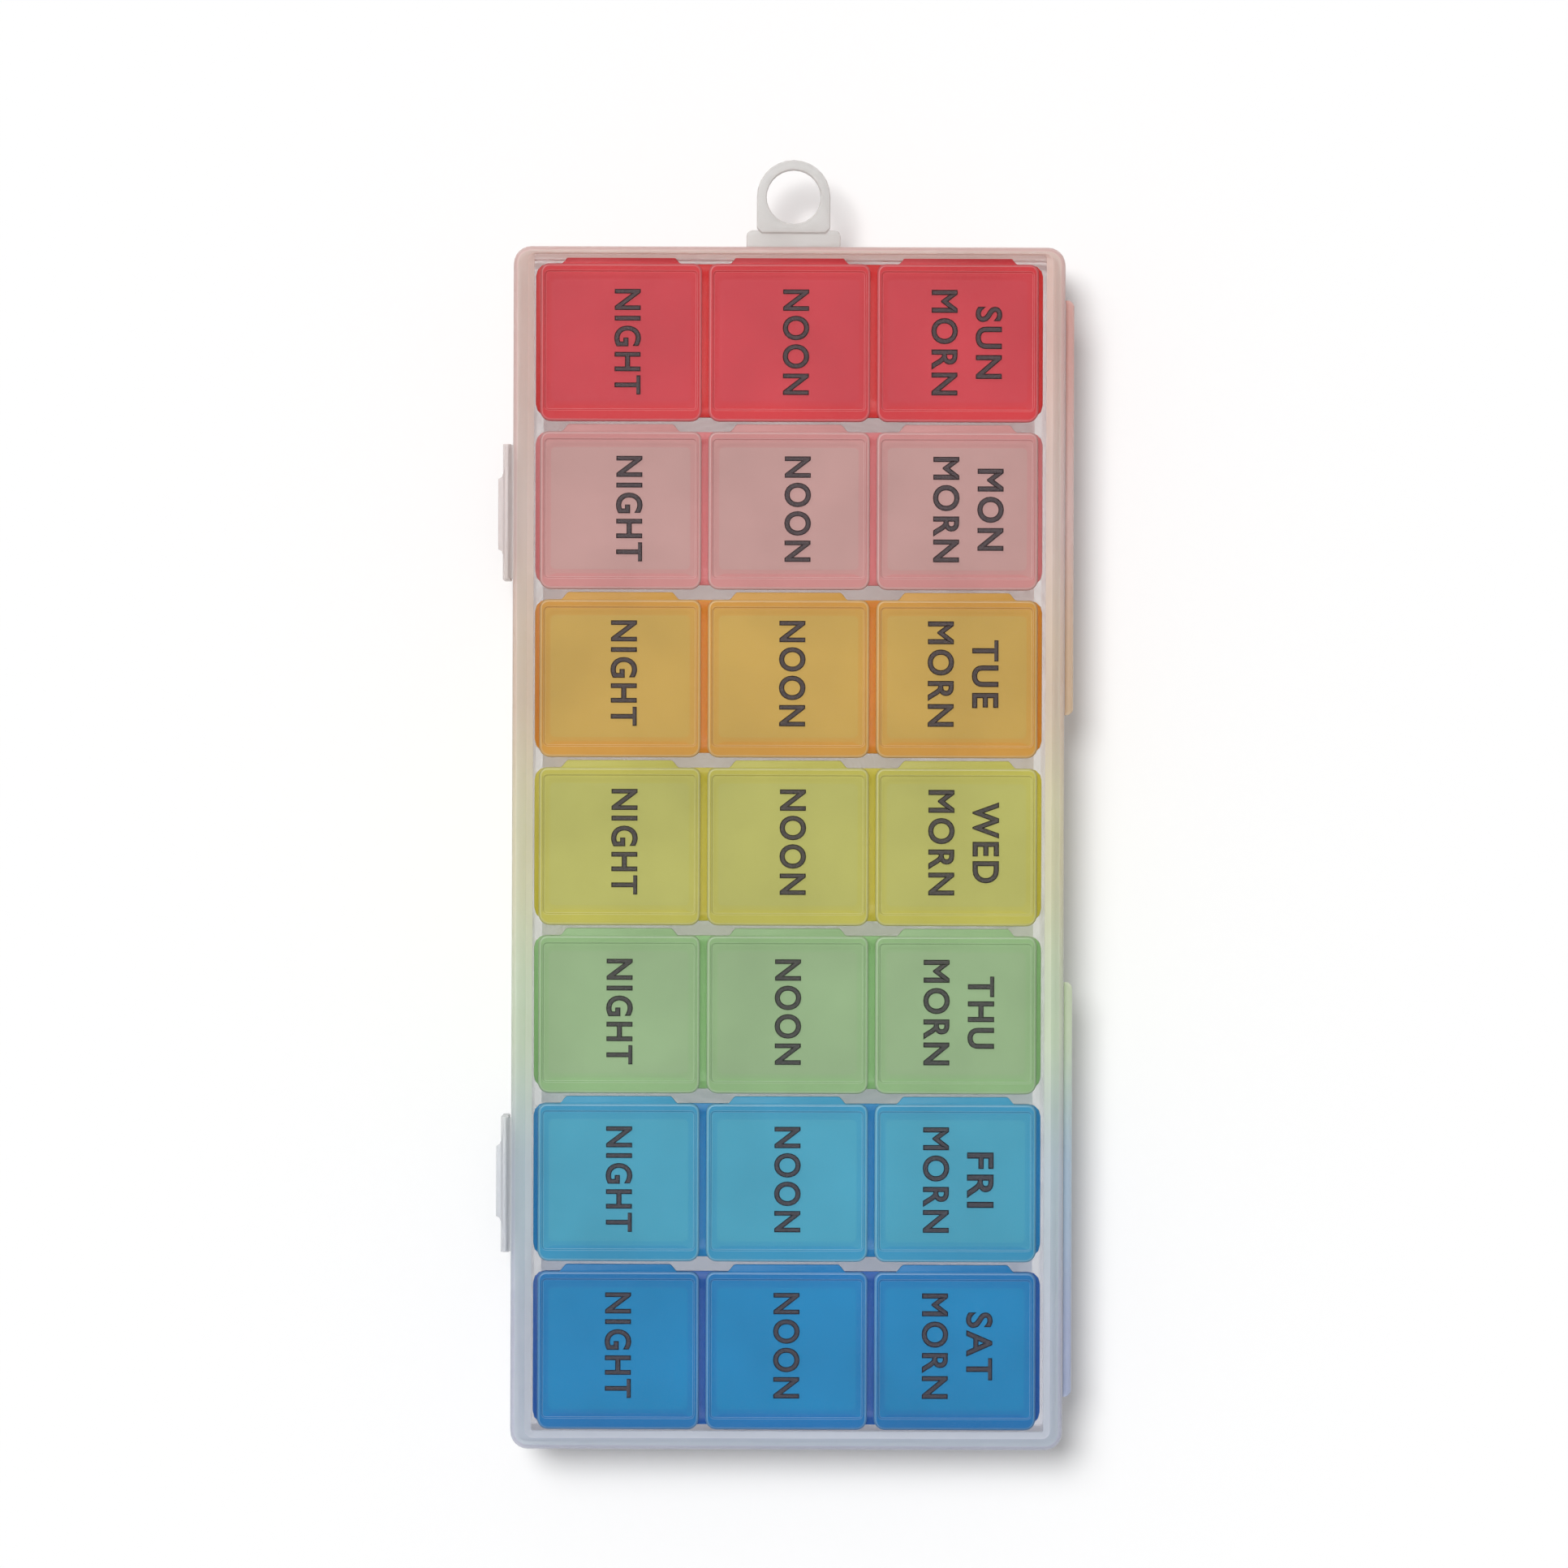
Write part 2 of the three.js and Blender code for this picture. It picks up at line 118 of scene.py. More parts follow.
class CaseSettings(bpy.types.PropertyGroup):
    """Sizes and finish of the frosted case"""
    wall: length(1.2, "Thickness of the case's walls, floor and panel")
    corner: length(3.6, "Radius of the case's corners, seen from above")
    edge_round: length(0.8, "Round along the upper edge of the case lid")
    near_border: length(2.5, "Width of the border at the end away from the hanging loop")
    far_border: length(1.5, "Width of the border at the end with the hanging loop")
    latch_border: length(3.0, "Width of the border on the latches' side")
    hinge_border: length(2.65, "Width of the border on the hinge's side")
    border_rise: length(0.55, "Height of the border above the panel")
    border_slope: length(1.15, "How far the border's inner face leans")
    far_slope: length(0.35, "How far it leans at the end with the hanging loop")
    window_corner: length(1.5, "Corner radius inside the border")
    lid_draft: length(0.4, "How far the case lid's skirt leans in at its top")
    tray_draft: length(1.4, "How far the tray's walls lean in at its floor")
    tray_foot: length(1.0, "Round between the tray's walls and its underside")
    lip_wall: length(0.8, "Thickness of the lip inside the tray's rim")
    lip_rise: length(1.0, "How far the lip stands above the joint")
    lip_gap: length(0.3, "Room between the lip and the case lid")
    small_round: length(0.15, "Round on the case's small edges")
    loop_round: length(0.25, "Round along the hanging loop's edges")
    latch_round: length(0.2, "Round along the latches' edges")
    bead_length: length(19.0, "Length of the beads that the latches snap over")
    bead_reach: length(0.6, "How far a bead stands out of the tray's wall")
    bead_height: length(2.4, "Height of a bead")
    bead_drop: length(6.0, "From the joint down to a bead's lower face")
    web_thickness: length(0.35, "Thickness of the case's hinge webs")
    web_taper: length(1.0, "Length over which a web's ends draw in")
    web_sweep: angle(150, "How far a web runs round the hinge, each way")
    film_thickness: length(0.25, "Thickness of the latches' film hinges")
    panel_veil: share(0.045, "How much each face of the clear panel hides")
    slope_veil: share(0.75, "How much the slope inside the border hides")
    wall_veil: share(0.60, "How much each face of a wall or border hides")
    tray_veil: share(0.40, "How much each face of the tray hides")
    foot_veil: share(0.20, "How much each face of the tray hides along the foot of its walls")
    fitting_veil: share(0.60, "How much each face of a latch or the loop hides")
    film_veil: share(0.85, "How much each face of a web or film hinge hides")
    edge_veil: share(0.14, "How much more a rounded edge hides")
    panel_colour: colour((0.12, 0.11, 0.11), "Haze of the clear panel")
    # Painted highlight: the slope inside the border is coloured lighter, for the light that it catches
    slope_colour: colour((0.60, 0.59, 0.53), "Slope inside the border, which catches light")
    wall_colour: colour((0.505, 0.525, 0.465), "Frosted walls and border of the case lid")
    tray_colour: colour((0.88, 0.84, 0.78), "Walls of the frosted tray")
    # Painted shade: the tray's floor is coloured darker than its walls, for the shade deep down between the
    # strips
    tray_floor_colour: colour((0.45, 0.45, 0.41), "Floor of the frosted tray")
    fitting_colour: colour((0.585, 0.57, 0.555), "Frosted latches and loop")
    film_colour: colour((0.75, 0.69, 0.62), "Film hinges")
    # Painted shade: the frosted pieces' rounded edges are coloured darker, for the dark look that bent light
    # gives them
    edge_colour: colour((0.40, 0.34, 0.33), "Rounded edges, which show darker")
    unevenness: share(0.12, "How much the frosting varies from place to place")
    clouds: share(0.04, "How much the tint varies from place to place")
    roughness: share(0.42, "Roughness of the satin grain")
    bump: share(0.10, "Strength of the satin grain's relief")
    specular: share(0.15, "How strongly the faces reflect")
    edge_shine: share(0.8, "How strongly the rounded edges reflect besides")
    scatter: share(0.8, "How much of the light spreads inside the plastic")
    scatter_depth: length(2.0, "How far light spreads inside the plastic")


class StripSettings(bpy.types.PropertyGroup):
    """Finish and tints of the lift-out strips"""
    edge_round: length(0.16, "Round along the strips' edges")
    # Painted shade: the strips' rounded edges are coloured darker
    edge_depth: share(0.35, "How far the rounded edges take their own tint")
    edge_tone: share(0.8, "Lightness of that tint beside the strip's")
    lamp_veil: share(0.12, "How much the plastic holds back the lamp's light")
    clouds: share(0.04, "How much the tint varies from place to place")
    roughness: share(0.42, "Roughness of the satin grain")
    bump: share(0.08, "Strength of the satin grain's relief")
    specular: share(0.2, "How strongly the faces reflect")
    scatter: share(0.8, "How much of the light spreads inside the plastic")
    scatter_depth: length(3.0, "How far light spreads inside the plastic")
    sun: colour((0.63, 0.022, 0.022), "Tint where the plastic is thick")
    mon: colour((0.625, 0.18, 0.186), "Tint where the plastic is thick")
    tue: colour((0.63, 0.225, 0.012), "Tint where the plastic is thick")
    wed: colour((0.52, 0.455, 0.04), "Tint where the plastic is thick")
    thu: colour((0.23, 0.445, 0.17), "Tint where the plastic is thick")
    fri: colour((0.006, 0.205, 0.46), "Tint where the plastic is thick")
    sat: colour((0.01, 0.1, 0.37), "Tint where the plastic is thick")


class CupLidSettings(bpy.types.PropertyGroup):
    """Sizes, finish and tints of the cup lids"""
    cup_length: length(27.6, "Mouth of a cup along its strip")
    cup_width: length(24.45, "Mouth of a cup across its strip")
    cup_shift: length(0.375, "How far the mouth lies in front of the lid's middle")
    front_corner: length(1.6, "Corner radius beside the thumb tab")
    back_corner: length(2.0, "Corner radius beside the film hinge")
    plate: length(1.45, "Thickness of a lid's plate")
    width: length(29.0, "Depth of a lid's plate from its front edge to its hinge edge")
    edge_round: length(0.45, "Round along the upper edge")
    small_round: length(0.12, "Round along the other edges")
    label_side: length(0.8, "From a lid's side edge in to the recess of its word")
    label_front: length(1.3, "From the front edge in to the recess")
    label_back: length(2.0, "From the hinge edge in to the recess")
    label_depth: length(0.25, "Depth of the recess")
    label_corner: length(0.8, "Corner radius of the recess")
    plug_gap: length(0.25, "Room between the plug ring and the cup")
    plug_wall: length(0.75, "Thickness of the plug ring")
    plug_depth: length(2.0, "How deep the plug ring reaches into the cup")
    tab_base: length(22.0, "Width of the thumb tab at the lid")
    tab_tip: length(18.8, "Width of the thumb tab at its tip")
    tab_thickness: length(1.0, "Thickness of the thumb tab")
    tab_round: length(0.18, "Round along the thumb tab's edges")
    film_length: length(12.7, "Length of the film hinge")
    film_thickness: length(0.25, "Thickness of the film hinge")
    film_inset: length(0.6, "From the lid's hinge edge in to its film hinge")
    film_root: length(1.2, "How far the film reaches down from the lid's underside")
    film_crown: length(0.25, "How far the film reaches up into the lid")
    film_hold: length(0.15, "How far the film bends past the deck and the lid's underside")
    veil: share(0.86, "How much each face of a lid hides")
    lamp_veil: share(0.12, "How much each face holds back the lamp's light")
    # Painted light and shade besides the plastic beneath: paler over the cup's mouth, deeper over the plug
    # ring, walls and deck
    rim_depth: share(0.35, "How far the rim takes the strip's tint")
    band_depth: share(0.22, "How far the band over the cup's walls takes the strip's tint")
    overhang_depth: share(0.48, "How far the front and back edges take the strip's tint")
    film_tone: share(0.93, "Lightness of the film hinge beside the strip")
    # Painted highlight: the lids' rounded edges are coloured paler, as if they caught the light
    edge_depth: share(0.5, "How far the rounded edges take their own tint")
    edge_gleam: share(0.2, "How far that tint goes towards the edge light")
    edge_light: colour((0.80, 0.80, 0.80), "Rounded edges, which catch light")
    clouds: share(0.08, "How much the tint varies from place to place")
    roughness: share(0.40, "Roughness of the satin grain")
    bump: share(0.08, "Strength of the satin grain's relief")
    specular: share(0.12, "How strongly the faces reflect")
    edge_shine: share(1.0, "How strongly the rounded edges reflect besides")
    # The tints over the cup's mouth are partly painted light, paler for the light that comes up through the
    # cup
    sun: colour((0.557, 0.049, 0.066), "Tint over the cup's mouth")
    mon: colour((0.513, 0.306, 0.286), "Tint over the cup's mouth")
    tue: colour((0.522, 0.343, 0.078), "Tint over the cup's mouth")
    wed: colour((0.443, 0.439, 0.122), "Tint over the cup's mouth")
    thu: colour((0.284, 0.414, 0.224), "Tint over the cup's mouth")
    fri: colour((0.064, 0.342, 0.477), "Tint over the cup's mouth")
    sat: colour((0.01, 0.219, 0.456), "Tint over the cup's mouth")


class WordSettings(bpy.types.PropertyGroup):
    """Size and ink of the words on the cup lids"""
    cap_height: length(4.9, "Height of the capitals")
    stroke_gain: length(0.22, "How much the strokes are thickened on each side")
    font_size: number(1.46, "The font's size for capitals one unit high")
    spacing: number(1.2, "Room between letters")
    ink_rise: length(0.03, "Thickness of the printed ink")
    ink: colour((0.048, 0.042, 0.047), "The printed words")
    ink_cover: share(0.79, "How much the ink hides")
    ink_wear: share(0.06, "How much less it hides where it is worn")
    worn_tone: number(1.35, "Lightness of worn ink beside the rest")
    roughness: share(0.55, "Roughness of the ink")
    specular: share(0.2, "How strongly the ink reflects")
    time_width: length(19.4, "Length of the words for the times")
    morn_shift: length(3.65, "How far the word lies off its lid's middle")
    day_shift: length(4.5, "How far the day's name lies off its lid's middle")


class StageSettings(bpy.types.PropertyGroup):
    """Camera, floor and light"""
    frame_width: length(287.35, "Width of the picture at the case lid")
    lens: number(150.0, "Focal length in millimetres")
    sensor: number(36.0, "Sensor width in millimetres")
    centre_x: offset(-0.75, "Off the case's middle")
    centre_y: offset(11.77, "Off the case's middle")
    roll: angle(0.18, "Turn of the picture")
    reach: length(20000.0, "How far the camera sees")
    sun_strength: number(2.45, "Strength of the large lamp")
    sun_size: angle(22, "Angle that the lamp fills")
    sun_height: angle(70, "Angle above the floor")
    sun_side: angle(130, "Angle round the object, from +X")
    sky: number(0.40, "Strength of the light from all round")
    floor_half: length(3000.0, "From the floor's middle to its sides")
    floor_tone: share(0.84, "Lightness of the floor")
    floor_roughness: share(0.9, "Roughness of the floor")
    floor_glow: share(0.05, "What the camera sees added to the floor")
    # Painted light: where the floor shows through plastic it glows, for the light that the frosted plastic
    # lets through
    under_glow: share(0.44, "What is added where the floor shows through plastic")


# Mesh tools

SUPPORT = 0.05 * MM      # how close a holding loop lies to a round
DOUBLES = 0.001 * MM
SHARP_ANGLE = math.radians(35)
FLAT_ANGLE = math.radians(1)
CORNER_STEPS = 6         # faces round a corner that is seen from above, and along a tab's flank
LID_ROUND_STEPS = 4      # faces across a rounded edge of the case lid
ROUND_STEPS = 3          # and of the tray, the cup lids, the loop and the latches
SMALL_STEPS = 2          # and of the strips, the thumb tabs and the beads
WEB_STEPS = 18           # faces along the bend of a web
LATCH_FILM_CUTS = 6      # cuts across the bend of a latch's film
CUP_FILM_CUTS = 8        # and of a cup lid's film
LETTER_STEPS = 5         # pieces along a curve of a letter
LEAST_CORNER_SHARE = 1 / 8    # of a corner's radius, left where a ring is drawn in past it


def outline(half_x, half_y, centre=(0.0, 0.0), front=0.0, back=None):
    """A rounded rectangle that a loft draws in from: half sizes, middle, and corner radii."""
    return {"half": (half_x, half_y), "centre": centre, "front": front,
            "back": front if back is None else back}


def turn(shape, inset, height, radius=0.0, tone=0.0):
    """One corner of a loft's profile. Its tone is that of the stretch which follows it."""
    return {"shape": shape, "at": Vector((inset, height)), "radius": radius, "tone": tone}


def round_profile(turns, steps):
    """Rounds a profile's corners. Gives rings of (shape, place), and bands of (tone, edge)."""
    rings = [(turns[0]["shape"], turns[0]["at"])]
    bands = []

    def add(shape, place, tone, edge=0.0):
        rings.append((shape, place))
        bands.append((tone, edge))

    for before, here, after in zip(turns, turns[1:], turns[2:]):
        shape, corner = here["shape"], here["at"]
        if not here["radius"]:
            add(shape, corner, before["tone"])
            continue
        back = (before["at"] - corner).normalized()
        ahead = (after["at"] - corner).normalized()
        half = back.angle(ahead) / 2
        reach = here["radius"] / math.tan(half)
        centre = corner + (back + ahead).normalized() * here["radius"] / math.sin(half)
        spoke = corner + back * reach - centre
        sweep = -spoke.angle_signed(corner + ahead * reach - centre)
        add(shape, centre + spoke + back * SUPPORT, before["tone"])
        add(shape, centre + spoke, before["tone"])
        for step in range(1, steps + 1):
            spot = centre + Matrix.Rotation(sweep * step / steps, 2) @ spoke
            add(shape, spot, before["tone"] if 2 * step <= steps else here["tone"], 1.0)
        add(shape, corner + ahead * (reach + SUPPORT), here["tone"])
    add(turns[-1]["shape"], turns[-1]["at"], turns[-2]["tone"])
    return rings, bands


def ring_edges(bm, shape, place):
    """The closed edge loop of a flat rounded rectangle."""
    inset, height = place
    verts = bmesh.ops.create_grid(bm, x_segments=1, y_segments=1, size=0.5)["verts"]
    size = [2 * (half - inset) for half in shape["half"]]
    bmesh.ops.scale(bm, vec=(*size, 1.0), verts=verts)
    corners = {"front": [v for v in verts if v.co.y > 0], "back": [v for v in verts if v.co.y < 0]}
    bmesh.ops.translate(bm, vec=(*shape["centre"], height), verts=verts)
    for end, pair in corners.items():
        radius = max(shape[end] - inset, shape[end] * LEAST_CORNER_SHARE)
        made = bmesh.ops.bevel(bm, geom=pair, offset=radius, offset_type="OFFSET",
                               segments=CORNER_STEPS, profile=0.5, affect="VERTICES", material=-1,
                               clamp_overlap=False)
    face = made["verts"][0].link_faces[0]
    edges = face.edges[:]
    bmesh.ops.delete(bm, geom=[face], context="FACES_ONLY")
    return edges


def mark_layers(bm):
    """New layers for the tones and the edge marks of a shell's faces."""
    return bm.faces.layers.float.new("tone"), bm.faces.layers.float.new("edge")


def loft(profiles, round_steps=ROUND_STEPS):
    """A closed shell through the rings of one or more profiles, with its tones and edges marked."""
    bm = bmesh.new()
    tone_layer, edge_layer = mark_layers(bm)
    rings, bands = [], []
    for turns in profiles:
        more_rings, more_bands = round_profile(turns, round_steps)
        rings += more_rings
        bands += more_bands + [(turns[-1]["tone"], 0.0)]
    for low, high, (tone, edge) in zip(rings, rings[1:], bands):
        pair = ring_edges(bm, *low) + ring_edges(bm, *high)
        for face in bmesh.ops.bridge_loops(bm, edges=pair)["faces"]:
            face[tone_layer] = tone
            face[edge_layer] = edge
    for ring, tone in ((rings[0], profiles[0][0]["tone"]), (rings[-1], profiles[-1][-1]["tone"])):
        cap = bmesh.ops.edgeloop_fill(bm, edges=ring_edges(bm, *ring))["faces"][0]
        cap[tone_layer] = tone
    bmesh.ops.remove_doubles(bm, verts=bm.verts[:], dist=DOUBLES)
    bmesh.ops.recalc_face_normals(bm, faces=bm.faces[:])
    return bm


def mark(bm, tone):
    """Gives all faces of a shell one tone, and marks none of them as an edge."""
    tone_layer, edge_layer = mark_layers(bm)
    for face in bm.faces:
        face[tone_layer] = tone
        face[edge_layer] = 0.0


def soften(bm, edge_round, steps=SMALL_STEPS):
    """Rounds every sharp edge of a shell. Gives the new faces."""
    sharp = [e for e in bm.edges if len(e.link_faces) == 2 and e.calc_face_angle() > SHARP_ANGLE]
    return bmesh.ops.bevel(bm, geom=sharp, offset=edge_round, offset_type="OFFSET", segments=steps,
                           profile=0.5, affect="EDGES", material=-1, clamp_overlap=True)["faces"]


def refined(node, edge_round, steps=SMALL_STEPS):
    """A merged copy of a CAD node's mesh, with its edges rounded and marked."""
    bm = bmesh.new()
    bm.from_mesh(frame["nodes"][node].data)
    bmesh.ops.remove_doubles(bm, verts=bm.verts[:], dist=DOUBLES)
    bmesh.ops.dissolve_limit(bm, angle_limit=FLAT_ANGLE, use_dissolve_boundaries=False,
                             verts=bm.verts[:], edges=bm.edges[:], delimit=set())
    mark(bm, WALL)
    edge_layer = bm.faces.layers.float["edge"]
    for face in soften(bm, edge_round, steps):
        face[edge_layer] = 1.0
    return bm


def draw_out(bm, faces, way):
    """Draws flat faces out into a shell."""
    made = bmesh.ops.extrude_face_region(bm, geom=faces)["geom"]
    moved = [part for part in made if isinstance(part, bmesh.types.BMVert)]
    bmesh.ops.translate(bm, vec=way, verts=moved)


def prism(points, axis, depth):
    """A closed shell from a flat outline of points, drawn out along an axis."""
    bm = bmesh.new()
    face = bm.faces.new([bm.verts.new(point) for point in points])
    draw_out(bm, [face], Vector(axis) * depth)
    bmesh.ops.holes_fill(bm, edges=bm.edges[:], sides=0)
    bmesh.ops.recalc_face_normals(bm, faces=bm.faces[:])
    return bm


def absorb(bm, other, name="part"):
    """Adds another shell's faces to this one."""
    mesh = bpy.data.meshes.new(name)
    other.to_mesh(mesh)
    other.free()
    bm.from_mesh(mesh)
    bpy.data.meshes.remove(mesh)


def as_mesh(name, bm, material):
    """A finished mesh, shaded smooth but for its sharp edges."""
    mesh = bpy.data.meshes.new(name)
    bm.to_mesh(mesh)
    bm.free()
    if "custom_normal" in mesh.attributes:
        mesh.attributes.remove(mesh.attributes["custom_normal"])
    mesh.shade_smooth()
    mesh.set_sharp_from_angle(angle=SHARP_ANGLE)
    mesh.materials.append(material)
    return mesh


def place_piece(name, bm, material, body=None, nodes=()):
    """Puts a shell in the scene as a finished piece of the object."""
    piece = bpy.data.objects.new(name, as_mesh(name, bm, material))
    bpy.context.scene.collection.objects.link(piece)
    if body:
        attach(piece, body)
    if nodes:
        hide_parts(*nodes)
    return piece


# Material tools

GRAIN_SCALE, FLOW_SCALE, CLOUD_SCALE, SMOKE_SCALE, INK_SCALE = 900.0, 60.0, 45.0, 14.0, 2500.0
GRAIN_RELIEF = 0.05 * MM
GRAIN_VARIATION = 0.08              # how much the grain changes the roughness
NOISE_LOW, NOISE_HIGH = 0.3, 0.7    # the span that most of a noise texture lies in
EDGE_ROUGHNESS = 0.4
ZONE_LEAD = 0.05                    # how far below its tone a ramp's zone begins
MIX_LOW, MIX_HIGH, MIX_RESULT = 6, 7, 2    # places of a Mix node's colour sockets
WHITE = (1.0, 1.0, 1.0, 1.0)
PALE = (0.8, 0.8, 0.8, 1.0)


def add_node(tree, kind, inputs=None, **settings):
    """A shader node with its settings, and its inputs set or linked by name."""
    made = tree.nodes.new(kind)
    for key, value in settings.items():
        setattr(made, key, value)
    for key, value in (inputs or {}).items():
        socket = made.inputs[key]
        if isinstance(value, bpy.types.NodeSocket):
            tree.links.new(value, socket)
        else:
            socket.default_value = value
    return made


def maths(tree, operation, *values, clamp=False):
    """The result of a Math node on numbers or sockets."""
    made = add_node(tree, "ShaderNodeMath", dict(enumerate(values)), operation=operation,
                    use_clamp=clamp)
    return made.outputs[0]


def between(tree, value, low, high, start=0.0, end=1.0):
    """Runs from low to high while another value runs from start to end."""
    made = add_node(tree, "ShaderNodeMapRange", {"Value": value, "From Min": start, "From Max": end,
                                                 "To Min": low, "To Max": high})
    return made.outputs["Result"]


def noise(tree, scale, detail=2.0, roughness=0.5):
    """A noise pattern that is fixed to the piece."""
    spot = add_node(tree, "ShaderNodeTexCoord")
    made = add_node(tree, "ShaderNodeTexNoise", {"Vector": spot.outputs["Object"], "Scale": scale,
                                                 "Detail": detail, "Roughness": roughness})
    return made.outputs["Fac"]


def mix_colour(tree, factor, low, high):
    """A colour between two, which are colours or sockets."""
    made = add_node(tree, "ShaderNodeMix", {0: factor, MIX_LOW: low, MIX_HIGH: high},
                    data_type="RGBA")
    return made.outputs[MIX_RESULT]


def rgba(value):
    return (*value, 1.0)


def fill_ramp(ramp, stops):
    """Gives a colour ramp its stops of place, colour and alpha."""
    steps = ramp.color_ramp.elements
    while len(steps) < len(stops):
        steps.new(0.5)
    while len(steps) > len(stops):
        steps.remove(steps[-1])
    for step, (place, tint, alpha) in zip(steps, stops):
        step.position = place
        step.color = (*tint, alpha)


def zone_ramp(tree, tone, zones):
    """Gives each tone its own colour and veil."""
    ramp = add_node(tree, "ShaderNodeValToRGB", {"Fac": tone})
    ramp.color_ramp.interpolation = "CONSTANT"
    fill_ramp(ramp, [(max(at - ZONE_LEAD, 0.0), tint, veil) for at, tint, veil in zones])
    return ramp


def made_once(build):
    """A node group that is built when it is first asked for, under its function's name."""
    def group():
        return bpy.data.node_groups.get(build.__name__) or build(build.__name__)
    return group


def new_group(name, inputs, outputs):
    """An empty node group with its sockets, and its two end nodes."""
    group = bpy.data.node_groups.new(name, "ShaderNodeTree")
    for label, kind, value in inputs:
        socket = group.interface.new_socket(name=label, in_out="INPUT", socket_type=kind)
        socket.default_value = value
    for label, kind in outputs:
        group.interface.new_socket(name=label, in_out="OUTPUT", socket_type=kind)
    return group, group.nodes.new("NodeGroupInput"), group.nodes.new("NodeGroupOutput")


@made_once
def moulded_grain(name):
    """The fine satin grain of moulded polypropylene, with faint flow marks."""
    group, start, end = new_group(
        name,
        [("Roughness", "NodeSocketFloat", 0.45), ("Variation", "NodeSocketFloat", GRAIN_VARIATION),
         ("Grain Scale", "NodeSocketFloat", GRAIN_SCALE)],
        [("Roughness", "NodeSocketFloat"), ("Height", "NodeSocketFloat")],
    )
    grain = noise(group, start.outputs["Grain Scale"], detail=3.0, roughness=0.6)
    both = maths(group, "ADD", grain, noise(group, FLOW_SCALE))
    centred = maths(group, "SUBTRACT", both, 1.0)
    rough = maths(group, "MULTIPLY_ADD", centred, start.outputs["Variation"],
                  start.outputs["Roughness"])
    group.links.new(rough, end.inputs["Roughness"])
    group.links.new(grain, end.inputs["Height"])
    return group


@made_once
def cloudy_tint(name):
    """The faint cloudiness of a tint in the plastic."""
    group, start, end = new_group(
        name,
        [("Colour", "NodeSocketColor", PALE), ("Cloudiness", "NodeSocketFloat", 0.04)],
        [("Colour", "NodeSocketColor")],
    )
    low = maths(group, "SUBTRACT", 1.0, start.outputs["Cloudiness"])
    high = maths(group, "ADD", 1.0, start.outputs["Cloudiness"])
    gain = between(group, noise(group, CLOUD_SCALE, detail=3.0), low, high, NOISE_LOW, NOISE_HIGH)
    tinted = add_node(group, "ShaderNodeVectorMath", {0: start.outputs["Colour"], "Scale": gain},
                      operation="SCALE")
    group.links.new(tinted.outputs[0], end.inputs["Colour"])
    return group


@made_once
def strip_glow(name):
    """Painted light: the strips' colours along the week, laid on the frosted plastic beside them as their
    coloured light.
    """
    strips = bpy.context.scene.pillbox_strips
    group, start, end = new_group(
        name,
        [("Colour", "NodeSocketColor", PALE), ("Share", "NodeSocketFloat", 0.25)],
        [("Colour", "NodeSocketColor")],
    )
    spot = add_node(group, "ShaderNodeTexCoord")
    along = add_node(group, "ShaderNodeSeparateXYZ", {"Vector": spot.outputs["Object"]})
    first, last = (sum(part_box(f"strip_{day}"), Vector()).y / 2 for day in (DAYS[0], DAYS[-1]))
    place = between(group, along.outputs["Y"], 0.0, 1.0, first, last)
    ramp = add_node(group, "ShaderNodeValToRGB", {"Fac": place})
    ramp.color_ramp.interpolation = "EASE"
    tints = [Vector(getattr(strips, day)) for day in DAYS]
    fill_ramp(ramp, [(i / (len(DAYS) - 1), tint / max(tint), 1.0) for i, tint in enumerate(tints)])
    glow = mix_colour(group, start.outputs["Share"], start.outputs["Colour"], ramp.outputs["Color"])
    group.links.new(glow, end.inputs["Colour"])
    return group


def plain_material(name):
    """A new material, its nodes and its Principled shader."""
    material = bpy.data.materials.new(name)
    material.use_nodes = True
    return material, material.node_tree, material.node_tree.nodes["Principled BSDF"]


def marked_material(name):
    """A new material that also reads the tone and edge marks of the faces."""
    material, tree, shader = plain_material(name)
    tone = add_node(tree, "ShaderNodeAttribute", attribute_name="tone")
    edge = add_node(tree, "ShaderNodeAttribute", attribute_name="edge")
    return material, tree, shader, tone.outputs["Fac"], edge.outputs["Fac"]


def add_colour(tree, shader, source, finish):
    """Base colour through the cloudy tint."""
    tint = add_node(tree, "ShaderNodeGroup", {"Colour": source, "Cloudiness": finish.clouds},
                    node_tree=cloudy_tint())
    tree.links.new(tint.outputs["Colour"], shader.inputs["Base Color"])


def add_grain(tree, shader, finish):
    """Roughness and relief from the moulded grain, and an even reflection."""
    grain = add_node(tree, "ShaderNodeGroup", {"Roughness": finish.roughness},
                     node_tree=moulded_grain())
    relief = add_node(tree, "ShaderNodeBump", {"Height": grain.outputs["Height"],
                                               "Strength": finish.bump, "Distance": GRAIN_RELIEF})
    tree.links.new(grain.outputs["Roughness"], shader.inputs["Roughness"])
    tree.links.new(relief.outputs["Normal"], shader.inputs["Normal"])
    shader.inputs["Specular IOR Level"].default_value = finish.specular


def add_shine(tree, shader, edge, finish):
    """A clearer reflection along the rounded edges, which are polished in the mould."""
    tree.links.new(maths(tree, "MULTIPLY", edge, finish.edge_shine), shader.inputs["Coat Weight"])
    shader.inputs["Coat Roughness"].default_value = EDGE_ROUGHNESS


def add_scatter(shader, finish):
    """Lets light spread inside the plastic."""
    shader.inputs["Subsurface Weight"].default_value = finish.scatter
    shader.inputs["Subsurface Scale"].default_value = finish.scatter_depth
    shader.inputs["Subsurface Radius"].default_value = WHITE[:3]


